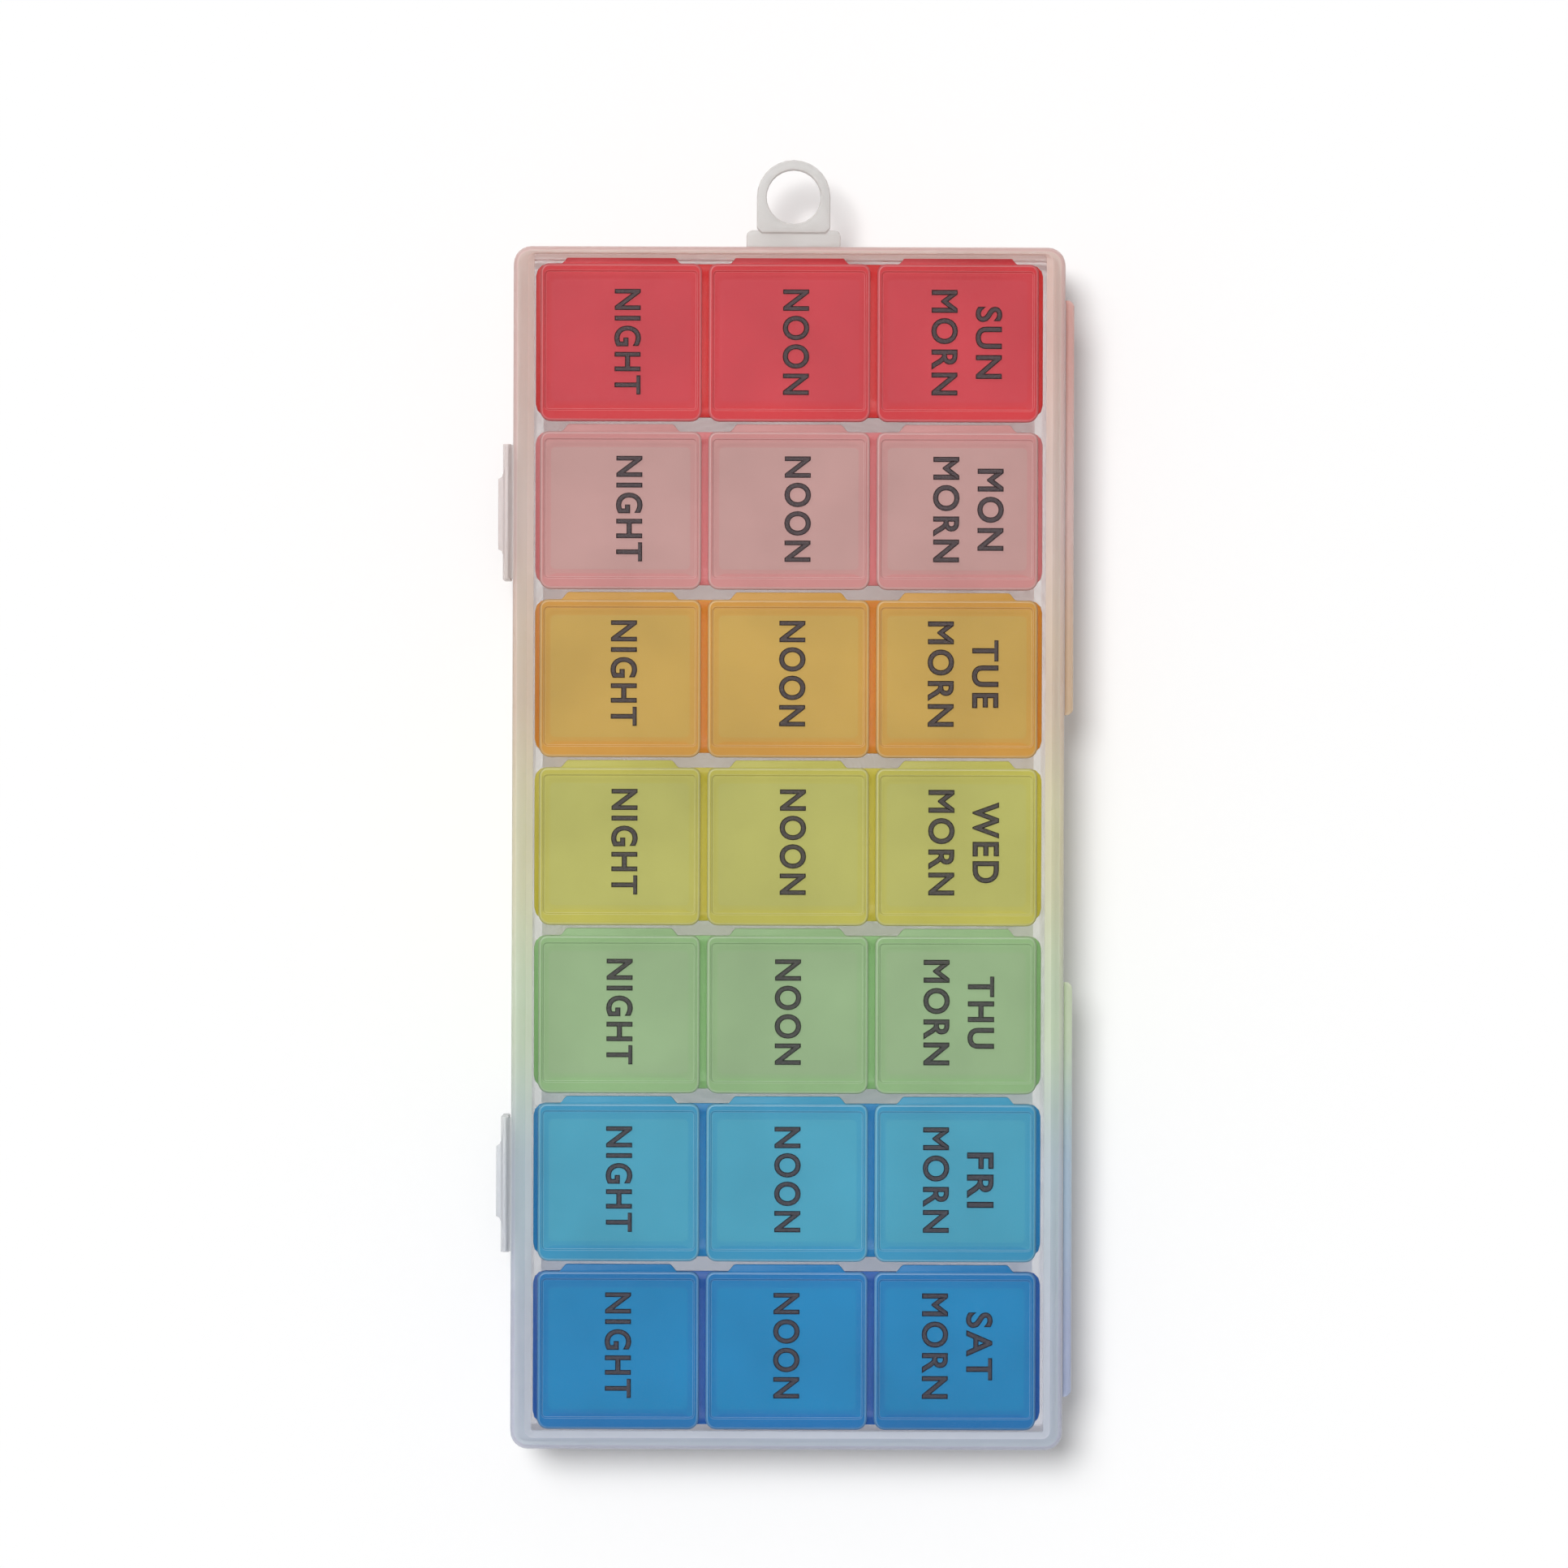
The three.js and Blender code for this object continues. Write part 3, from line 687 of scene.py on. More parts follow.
def let_light_through(tree, shader, veil, lamp_veil):
    """Alpha from one veil for what is seen, and another for light on its way from a lamp."""
    path = add_node(tree, "ShaderNodeLightPath")
    alpha = between(tree, path.outputs["Is Shadow Ray"], veil, lamp_veil)
    tree.links.new(alpha, shader.inputs["Alpha"])


# The strips' painted light on the thin and the thick faces of each frosted piece, how much of its veil also
# holds back the lamp's light, and how far its rounded edges take the painted shade of the edge colour
FROSTING = {
    "shell": {"glow": (0.16, 0.16), "lamp_share": 0.25, "edge_shade_share": 0.65},
    "tray": {"glow": (0.36, 0.14), "lamp_share": 2.4, "edge_shade_share": 0.5},
    "fitting": {"glow": (0.09, 0.09), "lamp_share": 1.2, "edge_shade_share": 0.5},
    "loop": {"glow": (0.0, 0.0), "lamp_share": 1.2, "edge_shade_share": 0.3},
    "web": {"glow": (0.40, 0.40), "lamp_share": 1.1, "edge_shade_share": 0.5},
}


def frosting_zones(case, kind):
    """The zones of a kind of frosted piece, each with its tone, colour and veil."""
    if kind == "shell":
        # The slope's zone carries a painted highlight
        return [(PANEL, case.panel_colour, case.panel_veil),
                (SLOPE, case.slope_colour, case.slope_veil),
                (WALL, case.wall_colour, case.wall_veil)]
    if kind == "tray":
        # The tray's floor carries painted shade
        return [(PANEL, case.tray_floor_colour, case.tray_veil),
                (SLOPE, case.tray_colour, case.foot_veil),
                (WALL, case.tray_colour, case.tray_veil)]
    if kind == "web":
        return [(PANEL, case.film_colour, case.film_veil)]
    return [(PANEL, case.fitting_colour, case.fitting_veil)]


def frosted(kind):
    """Natural frosted polypropylene in zones of colour and veil, with the strips' painted light on it."""
    name = f"{kind}_plastic"
    if name in bpy.data.materials:
        return bpy.data.materials[name]
    case, frosting = bpy.context.scene.pillbox_case, FROSTING[kind]
    material, tree, shader, tone, edge = marked_material(name)
    ramp = zone_ramp(tree, tone, frosting_zones(case, kind))
    # Painted shade: the rounded edges are mixed towards the darker edge colour
    edge_mix = maths(tree, "MULTIPLY", edge, frosting["edge_shade_share"])
    body = mix_colour(tree, edge_mix, ramp.outputs["Color"], rgba(case.edge_colour))
    # Painted light: the strips' colours, mixed in by place along the week, stand for their coloured light in
    # the plastic
    painted_light_share = between(tree, tone, *frosting["glow"])
    with_painted_light = add_node(tree, "ShaderNodeGroup", {"Colour": body, "Share": painted_light_share},
                      node_tree=strip_glow())
    add_colour(tree, shader, with_painted_light.outputs["Colour"], case)
    add_grain(tree, shader, case)
    add_shine(tree, shader, edge, case)
    add_scatter(shader, case)
    uneven = between(tree, noise(tree, SMOKE_SCALE), 1.0 - case.unevenness, 1.0 + case.unevenness,
                     NOISE_LOW, NOISE_HIGH)
    cover = maths(tree, "MULTIPLY", ramp.outputs["Alpha"], uneven)
    veil = maths(tree, "MULTIPLY_ADD", edge, case.edge_veil, cover, clamp=True)
    shade = maths(tree, "MULTIPLY", ramp.outputs["Alpha"], frosting["lamp_share"], clamp=True)
    let_light_through(tree, shader, veil, shade)
    return material


def lid_plastic(day):
    """A cup lid's tinted plastic, partly painted light and shade: paler over the cup's mouth, where light
    comes up through the cup, deeper over its walls, where they shade it and more plastic lies beneath.
    """
    lids, strips = bpy.context.scene.pillbox_lids, bpy.context.scene.pillbox_strips
    material, tree, shader, tone, edge = marked_material(f"lid_plastic_{day}")
    pale, deep = Vector(getattr(lids, day)), Vector(getattr(strips, day))
    ramp = zone_ramp(tree, tone, [
        (PLAIN, pale, 1.0),
        (RIM, pale.lerp(deep, lids.rim_depth), 1.0),
        (BAND, pale.lerp(deep, lids.band_depth), 1.0),
        (FILM, deep * lids.film_tone, 1.0),
        (OVERHANG, pale.lerp(deep, lids.overhang_depth), 1.0),
    ])
    # Painted highlight: the rounded edges are mixed towards a paler colour
    bright = rgba(pale.lerp(Vector(lids.edge_light), lids.edge_gleam))
    edge_mix = maths(tree, "MULTIPLY", edge, lids.edge_depth)
    tint = mix_colour(tree, edge_mix, ramp.outputs["Color"], bright)
    add_colour(tree, shader, tint, lids)
    add_grain(tree, shader, lids)
    add_shine(tree, shader, edge, lids)
    let_light_through(tree, shader, lids.veil, lids.lamp_veil)
    return material


def strip_plastic(day):
    """A strip's tinted plastic."""
    strips = bpy.context.scene.pillbox_strips
    material, tree, shader, tone, edge = marked_material(f"strip_plastic_{day}")
    deep = Vector(getattr(strips, day))
    # Painted shade: the rounded edges are mixed towards a darker tint
    edge_mix = maths(tree, "MULTIPLY", edge, strips.edge_depth)
    tint = mix_colour(tree, edge_mix, rgba(deep), rgba(deep * strips.edge_tone))
    add_colour(tree, shader, tint, strips)
    add_grain(tree, shader, strips)
    add_scatter(shader, strips)
    let_light_through(tree, shader, 1.0, strips.lamp_veil)
    return material


def ink_material():
    """The printed ink, slightly broken up where it sits on the grain."""
    words = bpy.context.scene.pillbox_words
    material, tree, shader = plain_material("printed_ink")
    wear = noise(tree, INK_SCALE)
    cover = between(tree, wear, words.ink_cover - words.ink_wear,
                    words.ink_cover + words.ink_wear / 2, NOISE_LOW, NOISE_HIGH)
    tree.links.new(cover, shader.inputs["Alpha"])
    shade = mix_colour(tree, wear, rgba(words.ink), rgba(Vector(words.ink) * words.worn_tone))
    tree.links.new(shade, shader.inputs["Base Color"])
    shader.inputs["Roughness"].default_value = words.roughness
    shader.inputs["Specular IOR Level"].default_value = words.specular
    return material


# Case

def place_frosted(name, bm, kind, body=None, nodes=()):
    """Puts a piece of the frosted case in the scene."""
    return place_piece(name, bm, frosted(kind), body, nodes)


def case_outline():
    """The case lid's outline, which the tray's rim shares."""
    case = bpy.context.scene.pillbox_case
    low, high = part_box("case_lid")
    return outline((high.x - low.x) / 2, (high.y - low.y) / 2, front=case.corner)


def joint_place(name):
    """A point on a joint's axis."""
    return Vector(next(joint["pos_m"] for joint in frame["joints"] if joint["name"] == name))


class PILLBOX_OT_tray(bpy.types.Operator):
    """Model the frosted tray with its lip and its catch beads"""
    bl_idname = "pillbox.tray"
    bl_label = "Tray"

    def execute(self, context):
        case = context.scene.pillbox_case
        shape = case_outline()
        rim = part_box("case_lid")[0].z - case.lip_gap
        lip_out = case.wall + case.lip_gap
        lip_in = lip_out + case.lip_wall
        root = rim - 2 * case.lip_rise
        lean = case.tray_draft / rim
        inner_foot = case.wall + case.tray_draft
        foot_zone = inner_foot + 2 * case.wall
        floor_zone = foot_zone + 2 * case.wall
        bm = loft([[
            turn(shape, floor_zone, 0.0, tone=PANEL),
            turn(shape, foot_zone, 0.0, tone=SLOPE),
            turn(shape, case.tray_draft, 0.0, case.tray_foot, WALL),
            turn(shape, 0.0, rim, case.small_round, WALL),
            turn(shape, lip_out, rim, tone=WALL),
            turn(shape, lip_out, rim + case.lip_rise, case.small_round, WALL),
            turn(shape, lip_in, rim + case.lip_rise, case.small_round, WALL),
            turn(shape, lip_in, root, case.small_round, WALL),
            turn(shape, case.wall + lean * (rim - root), root - case.lip_wall,
                 case.small_round, WALL),
            turn(shape, inner_foot, case.wall, case.wall, SLOPE),
            turn(shape, foot_zone, case.wall, tone=PANEL),
            turn(shape, floor_zone, case.wall, tone=PANEL),
        ]])
        for node in ("latch_upper", "latch_lower"):
            low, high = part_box(node)
            absorb(bm, self.bead(case, shape, rim, (low.y + high.y) / 2))
        place_frosted("tray_shell", bm, "tray", "tray_body", ["case_tray"])
        return {"FINISHED"}

    @staticmethod
    def bead(case, shape, joint, middle):
        """A catch bead: a sloped lead-in above and a flat face below."""
        bottom = joint - case.bead_drop
        wall_x = -(shape["half"][0] - case.tray_draft * (1 - bottom / joint))
        root = wall_x + case.wall / 2
        tip = wall_x - case.bead_reach
        start = middle - case.bead_length / 2
        bm = prism([
            (root, start, bottom),
            (root, start, bottom + case.bead_height),
            (wall_x, start, bottom + case.bead_height),
            (tip, start, bottom + case.bead_height / 3),
            (tip, start, bottom),
        ], (0, 1, 0), case.bead_length)
        soften(bm, case.small_round)
        mark(bm, WALL)
        return bm


class PILLBOX_OT_case_lid(bpy.types.Operator):
    """Model the frosted case lid with its raised border round a clear panel"""
    bl_idname = "pillbox.case_lid"
    bl_label = "Case lid"

    def execute(self, context):
        case = context.scene.pillbox_case
        shape = case_outline()
        low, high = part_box("case_lid")
        top = high.z
        panel = top - case.border_rise
        under = panel - case.wall
        inside = case.wall + case.lid_draft
        border = case.near_border
        slope_foot = border + case.border_slope
        panel_zone = slope_foot + 2 * case.wall
        window = self.opening(case, shape, border - case.far_border)
        sill = self.opening(case, shape, slope_foot - case.far_border - case.far_slope)
        bm = loft([[
            turn(sill, panel_zone, under, tone=PANEL),
            turn(sill, slope_foot, under, tone=WALL),
            turn(shape, inside, under, case.edge_round, WALL),
            turn(shape, case.wall, low.z, case.small_round, WALL),
            turn(shape, 0.0, low.z, case.small_round, WALL),
            turn(shape, case.lid_draft, top, case.edge_round, WALL),
            turn(window, border, top, case.small_round, SLOPE),
            turn(sill, slope_foot, panel, case.small_round, PANEL),
            turn(sill, panel_zone, panel, tone=PANEL),
        ]], round_steps=LID_ROUND_STEPS)
        place_frosted("case_lid_shell", bm, "shell", "case_lid_body", ["case_lid"])
        return {"FINISHED"}

    @staticmethod
    def opening(case, shape, spared):
        """The case's outline, set so that each side's border gets its own width."""
        latch_side = case.latch_border - case.near_border
        hinge_side = case.hinge_border - case.near_border
        half_x, half_y = shape["half"]
        return outline(half_x - (latch_side + hinge_side) / 2, half_y + spared / 2,
                       ((latch_side - hinge_side) / 2, spared / 2),
                       case.near_border + case.window_corner)


class PILLBOX_OT_hanging_loop(bpy.types.Operator):
    """Round off the hanging loop's eye and its base tab"""
    bl_idname = "pillbox.hanging_loop"
    bl_label = "Hanging loop"

    def execute(self, context):
        case = context.scene.pillbox_case
        bm = refined("hang_loop", case.loop_round, ROUND_STEPS)
        place_frosted("loop_eye", bm, "loop", "tray_body", ["hang_loop"])
        return {"FINISHED"}


class PILLBOX_OT_hinge_webs(bpy.types.Operator):
    """Model the two long film webs that join the case lid to the tray"""
    bl_idname = "pillbox.hinge_webs"
    bl_label = "Hinge webs"

    bulge = 1.05      # a web's radius beside its reach from the case lid to the hinge's axis
    draw_in = 0.5     # how far a web's ends draw in to the case

    def execute(self, context):
        case = context.scene.pillbox_case
        axis = joint_place("case_lid_hinge")
        reach = axis.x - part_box("case_lid")[1].x
        for side in ("upper", "lower"):
            low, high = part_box(f"case_hinge_web_{side}")
            bm = self.web(case, axis, reach, low.y, high.y)
            mark(bm, WALL)
            piece = place_frosted(f"hinge_web_{side}", bm, "web", nodes=[f"case_hinge_web_{side}"])
            mouth = reach * math.sin(math.pi - case.web_sweep)
            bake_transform(piece, "tray_body", "case_lid_body", start=(axis.x, 0, axis.z - mouth),
                     end=(axis.x, 0, axis.z + mouth))
        return {"FINISHED"}

    @classmethod
    def web(cls, case, axis, reach, start, end):
        """A sheet that runs from the tray's rim round outside the hinge axis to the case lid."""
        bm = bmesh.new()
        radius = reach * cls.bulge
        stops = [start, start + case.web_taper / 2, start + case.web_taper,
                 end - case.web_taper, end - case.web_taper / 2, end]
        line = [bm.verts.new((axis.x + radius, y, axis.z)) for y in stops]
        edges = [bm.edges.new(pair) for pair in zip(line, line[1:])]
        bmesh.ops.rotate(bm, cent=axis, matrix=Matrix.Rotation(case.web_sweep, 3, "Y"), verts=line)
        bmesh.ops.spin(bm, geom=line + edges, cent=axis, axis=(0, 1, 0), angle=-2 * case.web_sweep,
                       steps=WEB_STEPS, use_merge=False, use_normal_flip=False,
                       use_duplicate=False, dvec=(0, 0, 0))
        for vert in bm.verts:
            from_end = min(vert.co.y - start, end - vert.co.y) / case.web_taper
            drawn = (1 - min(from_end, 1.0)) ** 2 * cls.draw_in
            vert.co.x -= (vert.co.x - (axis.x - reach)) * drawn
        bmesh.ops.recalc_face_normals(bm, faces=bm.faces[:])
        bmesh.ops.solidify(bm, geom=bm.faces[:], thickness=case.web_thickness)
        bmesh.ops.recalc_face_normals(bm, faces=bm.faces[:])
        return bm


class PILLBOX_OT_latches(bpy.types.Operator):
    """Round off the two latches and give them their film hinges"""
    bl_idname = "pillbox.latches"
    bl_label = "Latches"

    def execute(self, context):
        case = context.scene.pillbox_case
        for side in ("upper", "lower"):
            bm = refined(f"latch_{side}", case.latch_round, ROUND_STEPS)
            place_frosted(f"latch_flap_{side}", bm, "fitting", f"latch_{side}_body",
                          [f"latch_{side}"])
            self.film(case, side)
        return {"FINISHED"}

    @staticmethod
    def film(case, side):
        """A thin hinge between the case lid's skirt and the latch's upper edge."""
        axis = joint_place(f"latch_{side}_hinge")
        low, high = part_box(f"latch_{side}")
        wall_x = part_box("case_lid")[0].x
        inner = wall_x + case.wall / 3
        outer = axis.x - case.wall / 2
        thick = case.film_thickness
        start = low.y + case.small_round
        bm = prism([
            (inner, start, axis.z - thick),
            (outer, start, axis.z - thick),
            (outer, start, axis.z),
            (inner, start, axis.z),
        ], (0, 1, 0), high.y - low.y - 2 * case.small_round)
        mark(bm, WALL)
        across = [e for e in bm.edges if abs(e.verts[0].co.x - e.verts[1].co.x) > case.wall / 3]
        bmesh.ops.subdivide_edges(bm, edges=across, cuts=LATCH_FILM_CUTS, use_grid_fill=True)
        piece = place_frosted(f"latch_film_{side}", bm, "fitting")
        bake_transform(piece, "case_lid_body", f"latch_{side}_body", start=(wall_x, 0, axis.z),
                 end=(outer, 0, axis.z))


# Strips and cup lids

class PILLBOX_OT_strips(bpy.types.Operator):
    """Round off the seven tinted strips of three cups"""
    bl_idname = "pillbox.strips"
    bl_label = "Strips"

    def execute(self, context):
        strips = context.scene.pillbox_strips
        for day in DAYS:
            bm = refined(f"strip_{day}", strips.edge_round)
            place_piece(f"cups_{day}", bm, strip_plastic(day), f"strip_{day}_body",
                        [f"strip_{day}"])
        return {"FINISHED"}


def lid_middle(day, time):
    """The middle of a cup lid's plate, at the height of its underside."""
    lids = bpy.context.scene.pillbox_lids
    low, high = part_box(f"lid_{day}_{time}")
    return Vector(((low.x + high.x) / 2, low.y + lids.width / 2, high.z - lids.plate))


class PILLBOX_OT_cup_lids(bpy.types.Operator):
    """Model the 21 cup lids with their thumb tabs, plug rings and film hinges"""
    bl_idname = "pillbox.cup_lids"
    bl_label = "Cup lids"

    def execute(self, context):
        lids = context.scene.pillbox_lids
        low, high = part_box(f"lid_{DAYS[0]}_{TIMES[0]}")
        plain = self.lid(lids, high.x - low.x, high.y - low.y - lids.width)
        film = self.film(lids)
        for day in DAYS:
            plastic = lid_plastic(day)
            for time in TIMES:
                middle = lid_middle(day, time)
                self.put_lid(self.moved(plain, middle), plastic, day, time)
                self.put_film(self.moved(film, middle), middle, plastic, day, time)
        plain.free()
        film.free()
        return {"FINISHED"}

    @staticmethod
    def lid(lids, length_x, tab_reach):
        """One lid about its own middle, its underside at zero."""
        half_x, half_y = length_x / 2, lids.width / 2
        plate = outline(half_x, half_y, front=lids.front_corner, back=lids.back_corner)
        label = outline(half_x - lids.label_side, half_y - (lids.label_front + lids.label_back) / 2,
                        (0.0, (lids.label_back - lids.label_front) / 2), lids.label_corner)
        mouth = outline(lids.cup_length / 2 - lids.plug_gap, lids.cup_width / 2 - lids.plug_gap,
                        (0.0, lids.cup_shift), lids.front_corner)
        wall, depth, top = lids.plug_wall, lids.plug_depth, lids.plate
        floor = top - lids.label_depth
        small = lids.small_round
        bm = loft([
            [
                turn(mouth, wall * 4, 0.0, tone=PLAIN),
                turn(mouth, wall, 0.0, 2 * small, PLAIN),
                turn(mouth, wall, -depth, small, BAND),
                turn(mouth, wall / 3, -depth, small, BAND),
                turn(mouth, 0.0, -depth + wall * 2 / 3, small, BAND),
                turn(mouth, 0.0, 0.0, 2 * small, RIM),
                turn(mouth, -wall / 2, 0.0, tone=RIM),
            ],
            [
                turn(plate, wall, 0.0, tone=RIM),
                turn(plate, 0.0, 0.0, small, RIM),
                turn(plate, 0.0, top, lids.edge_round, RIM),
                turn(plate, wall, top, tone=RIM),
            ],
            [
                turn(label, -wall / 4, top, tone=RIM),
                turn(label, 0.0, top, small, RIM),
                turn(label, lids.label_depth, floor, small, BAND),
                turn(label, wall / 2, floor, tone=BAND),
            ],
            [
                turn(mouth, 0.0, floor, tone=BAND),
                turn(mouth, wall, floor, tone=PLAIN),
                turn(mouth, wall * 2, floor, tone=PLAIN),
            ],
        ])
        tone_layer = bm.faces.layers.float["tone"]
        for face in bm.faces:
            off_middle = abs(face.calc_center_median().y - lids.cup_shift)
            on_top = face.normal.z > 0.5 and face[tone_layer] in (RIM, BAND)
            if on_top and off_middle > lids.cup_width / 2:
                face[tone_layer] = OVERHANG
        absorb(bm, PILLBOX_OT_cup_lids.tab(lids, half_y, tab_reach))
        return bm

    @staticmethod
    def tab(lids, half_y, reach):
        """The thumb tab, with flanks that sweep in to its tip."""
        upper = lids.plate - lids.edge_round / 2
        root = half_y - lids.edge_round
        flank = []
        for step in range(CORNER_STEPS + 1):
            along = step / CORNER_STEPS
            sweep = (1 - math.cos(along * math.pi)) / 2
            flank.append((lids.tab_base / 2 - (lids.tab_base - lids.tab_tip) / 2 * along,
                          half_y + reach * sweep))
        points = [(lids.tab_base / 2, root)] + flank + [(-x, y) for x, y in reversed(flank)]
        points.append((-lids.tab_base / 2, root))
        bm = prism([(x, y, upper - lids.tab_thickness) for x, y in points], (0, 0, 1),
                   lids.tab_thickness)
        soften(bm, lids.tab_round)
        mark(bm, RIM)
        return bm

    @staticmethod
    def film(lids):
        """The film hinge: a short thin sheet from the deck's back edge up to the lid."""
        axis_y = -lids.width / 2 + lids.film_inset
        half = lids.film_length / 2
        thick = lids.film_thickness
        bm = prism([
            (-half, axis_y - thick / 2, -lids.film_root),
            (half, axis_y - thick / 2, -lids.film_root),
            (half, axis_y + thick / 2, -lids.film_root),
            (-half, axis_y + thick / 2, -lids.film_root),
        ], (0, 0, 1), lids.film_root + lids.film_crown)
        mark(bm, FILM)
        upright = [e for e in bm.edges if abs(e.verts[0].co.z - e.verts[1].co.z) > thick]
        bmesh.ops.subdivide_edges(bm, edges=upright, cuts=CUP_FILM_CUTS, use_grid_fill=True)
        return bm

    @staticmethod
    def moved(source, middle):
        """A copy of a shell, moved to a lid's middle."""
        bm = source.copy()
        bmesh.ops.translate(bm, vec=middle, verts=bm.verts[:])
        return bm

    @staticmethod
    def put_lid(bm, plastic, day, time):
        """Puts a lid on its cup."""
        place_piece(f"cup_lid_{day}_{time}", bm, plastic, f"lid_{day}_{time}_body",
                    [f"lid_{day}_{time}"])

    @staticmethod
    def put_film(bm, middle, plastic, day, time):
        """Joins a lid to its strip with a film that bends as the lid turns."""
        piece = place_piece(f"cup_film_{day}_{time}", bm, plastic)
        hold = bpy.context.scene.pillbox_lids.film_hold
        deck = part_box(f"strip_{day}")[1].z
        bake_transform(piece, f"strip_{day}_body", f"lid_{day}_{time}_body",
                 start=(middle.x, middle.y, deck - hold), end=(middle.x, middle.y, middle.z + hold))


class PILLBOX_OT_words(bpy.types.Operator):
    """Print the plain words for the days and the times on the cup lids"""
    bl_idname = "pillbox.words"
    bl_label = "Words"

    # Length of each day's name, and how far its strip's print lies off in X and Y, in millimetres
    prints = {"sun": (13.3, 1.2, 0.1), "mon": (15.1, 1.6, 0.3), "tue": (12.5, 0.7, 0.95),
              "wed": (14.9, 0.9, 0.85), "thu": (13.3, 0.1, 0.5), "fri": (10.2, 0.1, 0.6),
              "sat": (12.5, 0.0, 0.95)}

    def execute(self, context):
        words = context.scene.pillbox_words
        lids = context.scene.pillbox_lids
        ink = ink_material()
        for day in DAYS:
            name_length, drift_x, drift_y = self.prints[day]
            for time in TIMES:
                face = lid_middle(day, time) + Vector((drift_x, drift_y, 0)) * MM
                face.z += lids.plate - lids.label_depth
                lines = [(time.upper(), words.time_width, 0.0)]
                if time == "morn":
                    lines = [(time.upper(), words.time_width, -words.morn_shift),
                             (day.upper(), name_length * MM, words.day_shift)]
                bm = bmesh.new()
                for text, reach, shift in lines:
                    self.word(bm, words, text, reach, face + Vector((shift, 0, 0)))
                place_piece(f"words_{day}_{time}", bm, ink, f"lid_{day}_{time}_body")
        return {"FINISHED"}

    @staticmethod
    def word(bm, words, text, reach, middle):
        """One word as a thin closed shell, set to its height and length, reading towards -Y."""
        curve = bpy.data.curves.new("word", "FONT")
        curve.body = text
        curve.size = words.cap_height * words.font_size
        curve.space_character = words.spacing
        curve.resolution_u = LETTER_STEPS
        letters = bpy.data.objects.new("word", curve)
        bpy.context.scene.collection.objects.link(letters)
        bpy.context.view_layer.update()
        mesh = bpy.data.meshes.new_from_object(letters)
        bpy.data.objects.remove(letters)
        bpy.data.curves.remove(curve)
        shell = bmesh.new()
        shell.from_mesh(mesh)
        bpy.data.meshes.remove(mesh)
        bmesh.ops.remove_doubles(shell, verts=shell.verts[:], dist=DOUBLES)
        bmesh.ops.inset_region(shell, faces=shell.faces[:], thickness=-words.stroke_gain,
                               use_boundary=True, use_even_offset=True)
        xs = [v.co.x for v in shell.verts]
        ys = [v.co.y for v in shell.verts]
        size = (reach / (max(xs) - min(xs)), words.cap_height / (max(ys) - min(ys)), 1.0)
        centre = Vector((-(max(xs) + min(xs)) / 2, -(max(ys) + min(ys)) / 2, 0))
        bmesh.ops.translate(shell, vec=centre, verts=shell.verts[:])
        bmesh.ops.scale(shell, vec=size, verts=shell.verts[:])
        bmesh.ops.rotate(shell, matrix=Matrix.Rotation(-math.pi / 2, 3, "Z"), verts=shell.verts[:])
        draw_out(shell, shell.faces[:], (0, 0, words.ink_rise))
        bmesh.ops.translate(shell, vec=middle, verts=shell.verts[:])
        bmesh.ops.recalc_face_normals(shell, faces=shell.faces[:])
        absorb(bm, shell)


# Stage

def background_rays(tree):
    """The light path, and where a ray shows the background: seen, mirrored or through glass."""
    path = add_node(tree, "ShaderNodeLightPath")
    seen = path.outputs["Is Camera Ray"]
    for kind in ("Is Glossy Ray", "Is Transmission Ray"):
        seen = maths(tree, "MAXIMUM", seen, path.outputs[kind])
    return path, seen


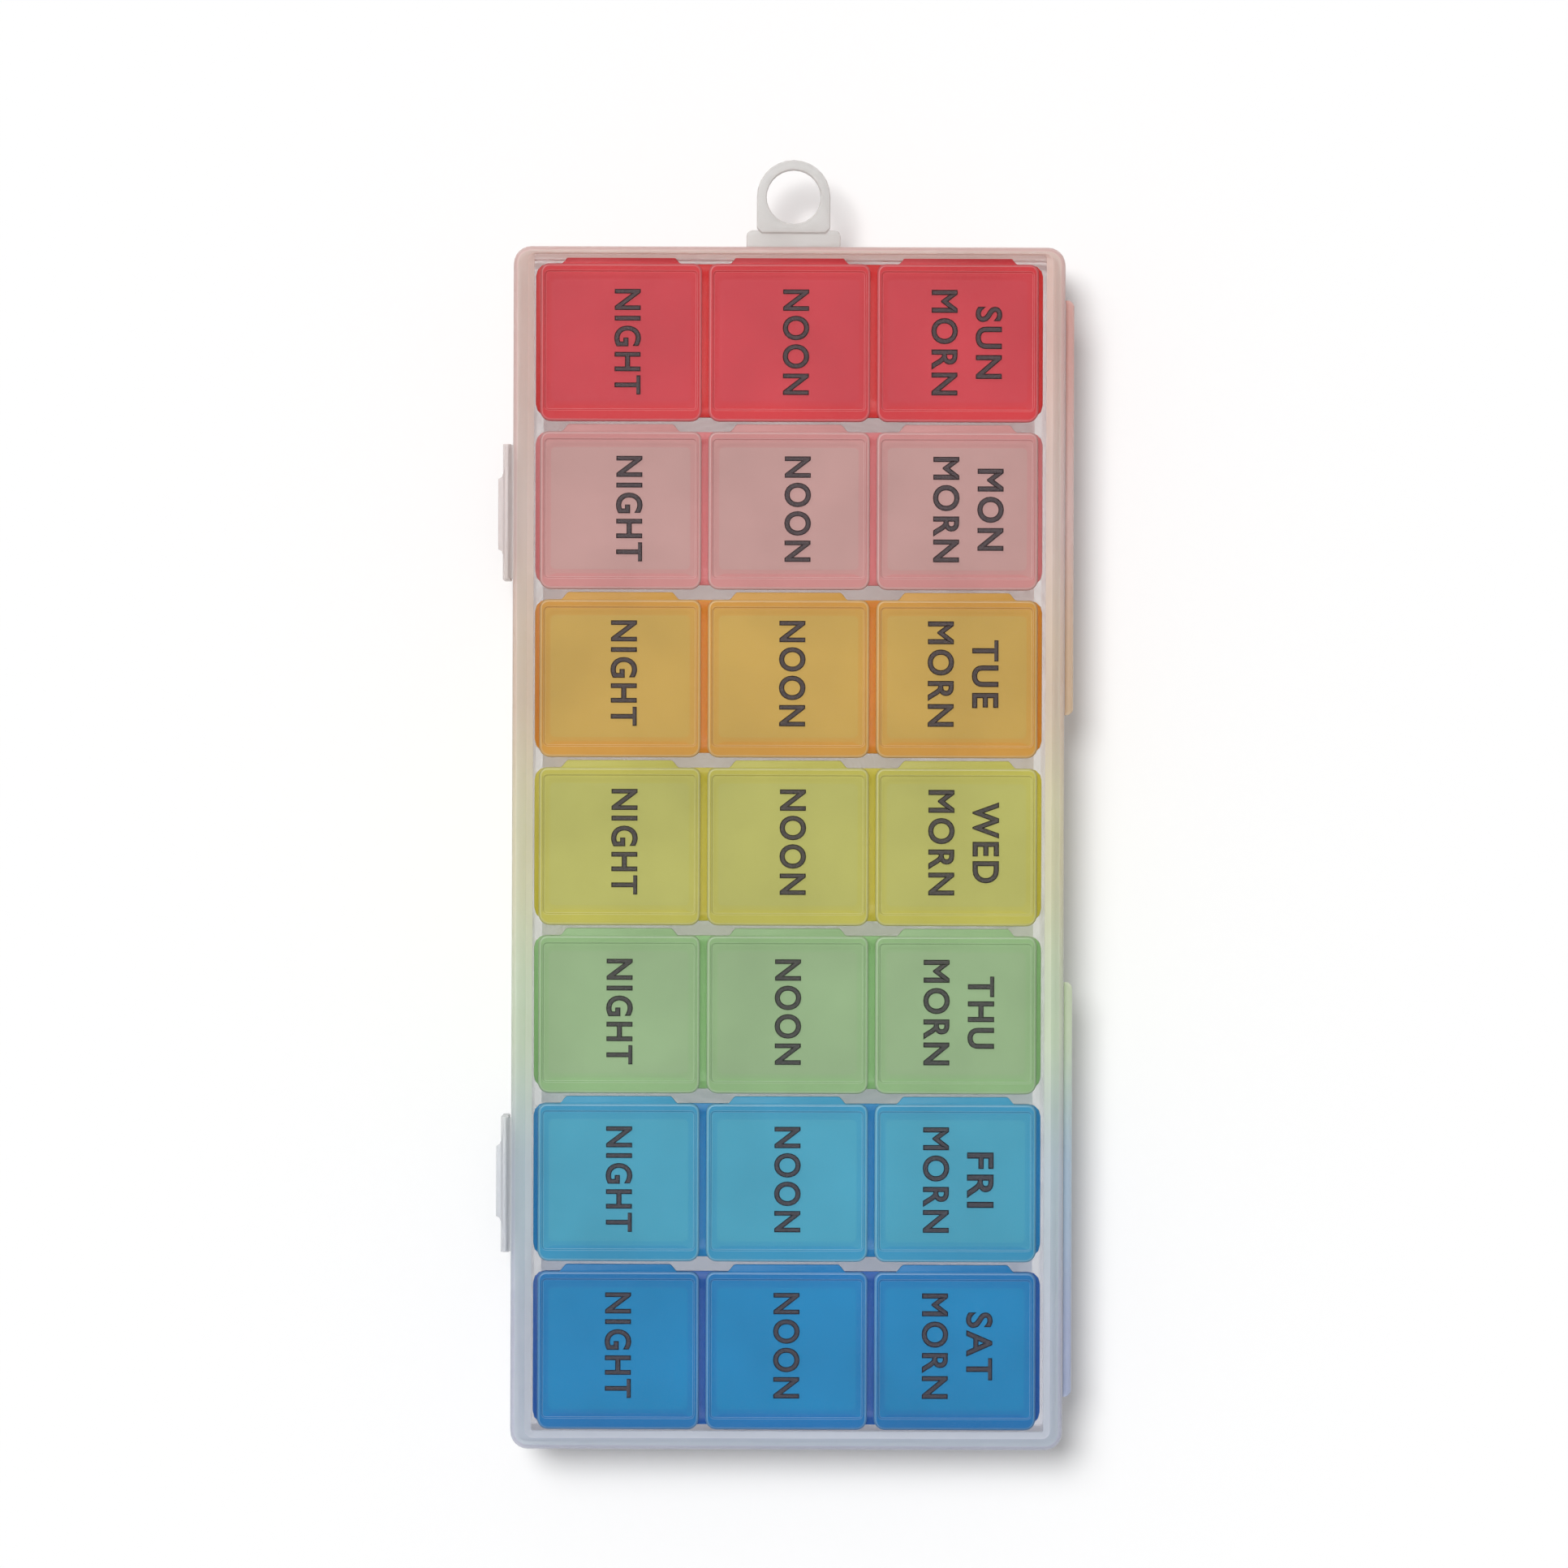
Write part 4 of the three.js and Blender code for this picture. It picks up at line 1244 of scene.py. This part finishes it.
class PILLBOX_OT_stage(bpy.types.Operator):
    """Set up the camera, the pale floor and the soft light"""
    bl_idname = "pillbox.stage"
    bl_label = "Stage"

    def execute(self, context):
        stage = context.scene.pillbox_stage
        self.camera(context, stage)
        self.floor(context, stage)
        self.lamp(context, stage)
        self.sky(context, stage)
        context.scene.view_settings.view_transform = "Standard"
        return {"FINISHED"}

    @staticmethod
    def camera(context, stage):
        """A long lens straight above the case."""
        data = bpy.data.cameras.new("overhead_camera")
        data.lens = stage.lens
        data.sensor_width = stage.sensor
        data.clip_end = stage.reach
        camera = bpy.data.objects.new("overhead_camera", data)
        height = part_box("case_lid")[1].z + stage.frame_width * stage.lens / stage.sensor
        camera.location = (stage.centre_x, stage.centre_y, height)
        camera.rotation_euler = (0.0, 0.0, stage.roll)
        context.scene.collection.objects.link(camera)
        context.scene.camera = camera

    @staticmethod
    def floor(context, stage):
        """A pale floor that the camera sees a little brighter, and, as painted light, much brighter where it
        shows through plastic.
        """
        bm = bmesh.new()
        bmesh.ops.create_grid(bm, x_segments=1, y_segments=1, size=stage.floor_half)
        material, tree, shader = plain_material("pale_floor")
        shader.inputs["Base Color"].default_value = rgba([stage.floor_tone] * 3)
        shader.inputs["Roughness"].default_value = stage.floor_roughness
        shader.inputs["Specular IOR Level"].default_value = 0.0
        shader.inputs["Emission Color"].default_value = WHITE
        path, seen = background_rays(tree)
        # Painted light: the floor glows more where it is seen through plastic
        through = between(tree, path.outputs["Transparent Depth"], stage.floor_glow,
                          stage.floor_glow + stage.under_glow)
        tree.links.new(maths(tree, "MULTIPLY", seen, through), shader.inputs["Emission Strength"])
        mesh = as_mesh("floor", bm, material)
        floor = bpy.data.objects.new("floor", mesh)
        context.scene.collection.objects.link(floor)

    @staticmethod
    def lamp(context, stage):
        """One large soft lamp, high above the corner of the loop and the latches."""
        data = bpy.data.lights.new("soft_lamp", "SUN")
        data.energy = stage.sun_strength
        data.angle = stage.sun_size
        lamp = bpy.data.objects.new("soft_lamp", data)
        towards = Vector((math.cos(stage.sun_side) * math.cos(stage.sun_height),
                          math.sin(stage.sun_side) * math.cos(stage.sun_height),
                          math.sin(stage.sun_height)))
        lamp.rotation_euler = towards.to_track_quat("Z", "Y").to_euler()
        context.scene.collection.objects.link(lamp)

    @staticmethod
    def sky(context, stage):
        """Even light from all round, in a room that the camera sees white."""
        world = bpy.data.worlds.new("white_room")
        context.scene.world = world
        world.use_nodes = True
        tree = world.node_tree
        path, seen = background_rays(tree)
        background = tree.nodes["Background"]
        background.inputs["Color"].default_value = WHITE
        tree.links.new(between(tree, seen, stage.sky, 1.0), background.inputs["Strength"])


SETTINGS = {
    "pillbox_case": CaseSettings,
    "pillbox_strips": StripSettings,
    "pillbox_lids": CupLidSettings,
    "pillbox_words": WordSettings,
    "pillbox_stage": StageSettings,
}
STEPS = (
    PILLBOX_OT_tray,
    PILLBOX_OT_case_lid,
    PILLBOX_OT_hanging_loop,
    PILLBOX_OT_hinge_webs,
    PILLBOX_OT_latches,
    PILLBOX_OT_strips,
    PILLBOX_OT_cup_lids,
    PILLBOX_OT_words,
    PILLBOX_OT_stage,
)


class PILLBOX_PT_sidebar(bpy.types.Panel):
    """Lists the pill box's pieces and its settings"""
    bl_label = "Pill Box"
    bl_idname = "PILLBOX_PT_sidebar"
    bl_space_type = "VIEW_3D"
    bl_region_type = "UI"
    bl_category = "Pill Box"

    def draw(self, context):
        for step in STEPS:
            self.layout.operator(step.bl_idname)
        for name, group in SETTINGS.items():
            box = self.layout.box()
            box.label(text=group.__doc__)
            settings = getattr(context.scene, name)
            for key in group.__annotations__:
                box.prop(settings, key, text=key.replace("_", " ").capitalize())


def register():
    for name, group in SETTINGS.items():
        bpy.utils.register_class(group)
        setattr(bpy.types.Scene, name, PointerProperty(type=group))
    for step in STEPS:
        bpy.utils.register_class(step)
    bpy.utils.register_class(PILLBOX_PT_sidebar)


def unregister():
    bpy.utils.unregister_class(PILLBOX_PT_sidebar)
    for step in reversed(STEPS):
        bpy.utils.unregister_class(step)
    for name, group in SETTINGS.items():
        delattr(bpy.types.Scene, name)
        bpy.utils.unregister_class(group)


def main():
    register()
    for step in STEPS:
        group, name = step.bl_idname.split(".")
        getattr(getattr(bpy.ops, group), name)()


if __name__ == "__main__":
    main()
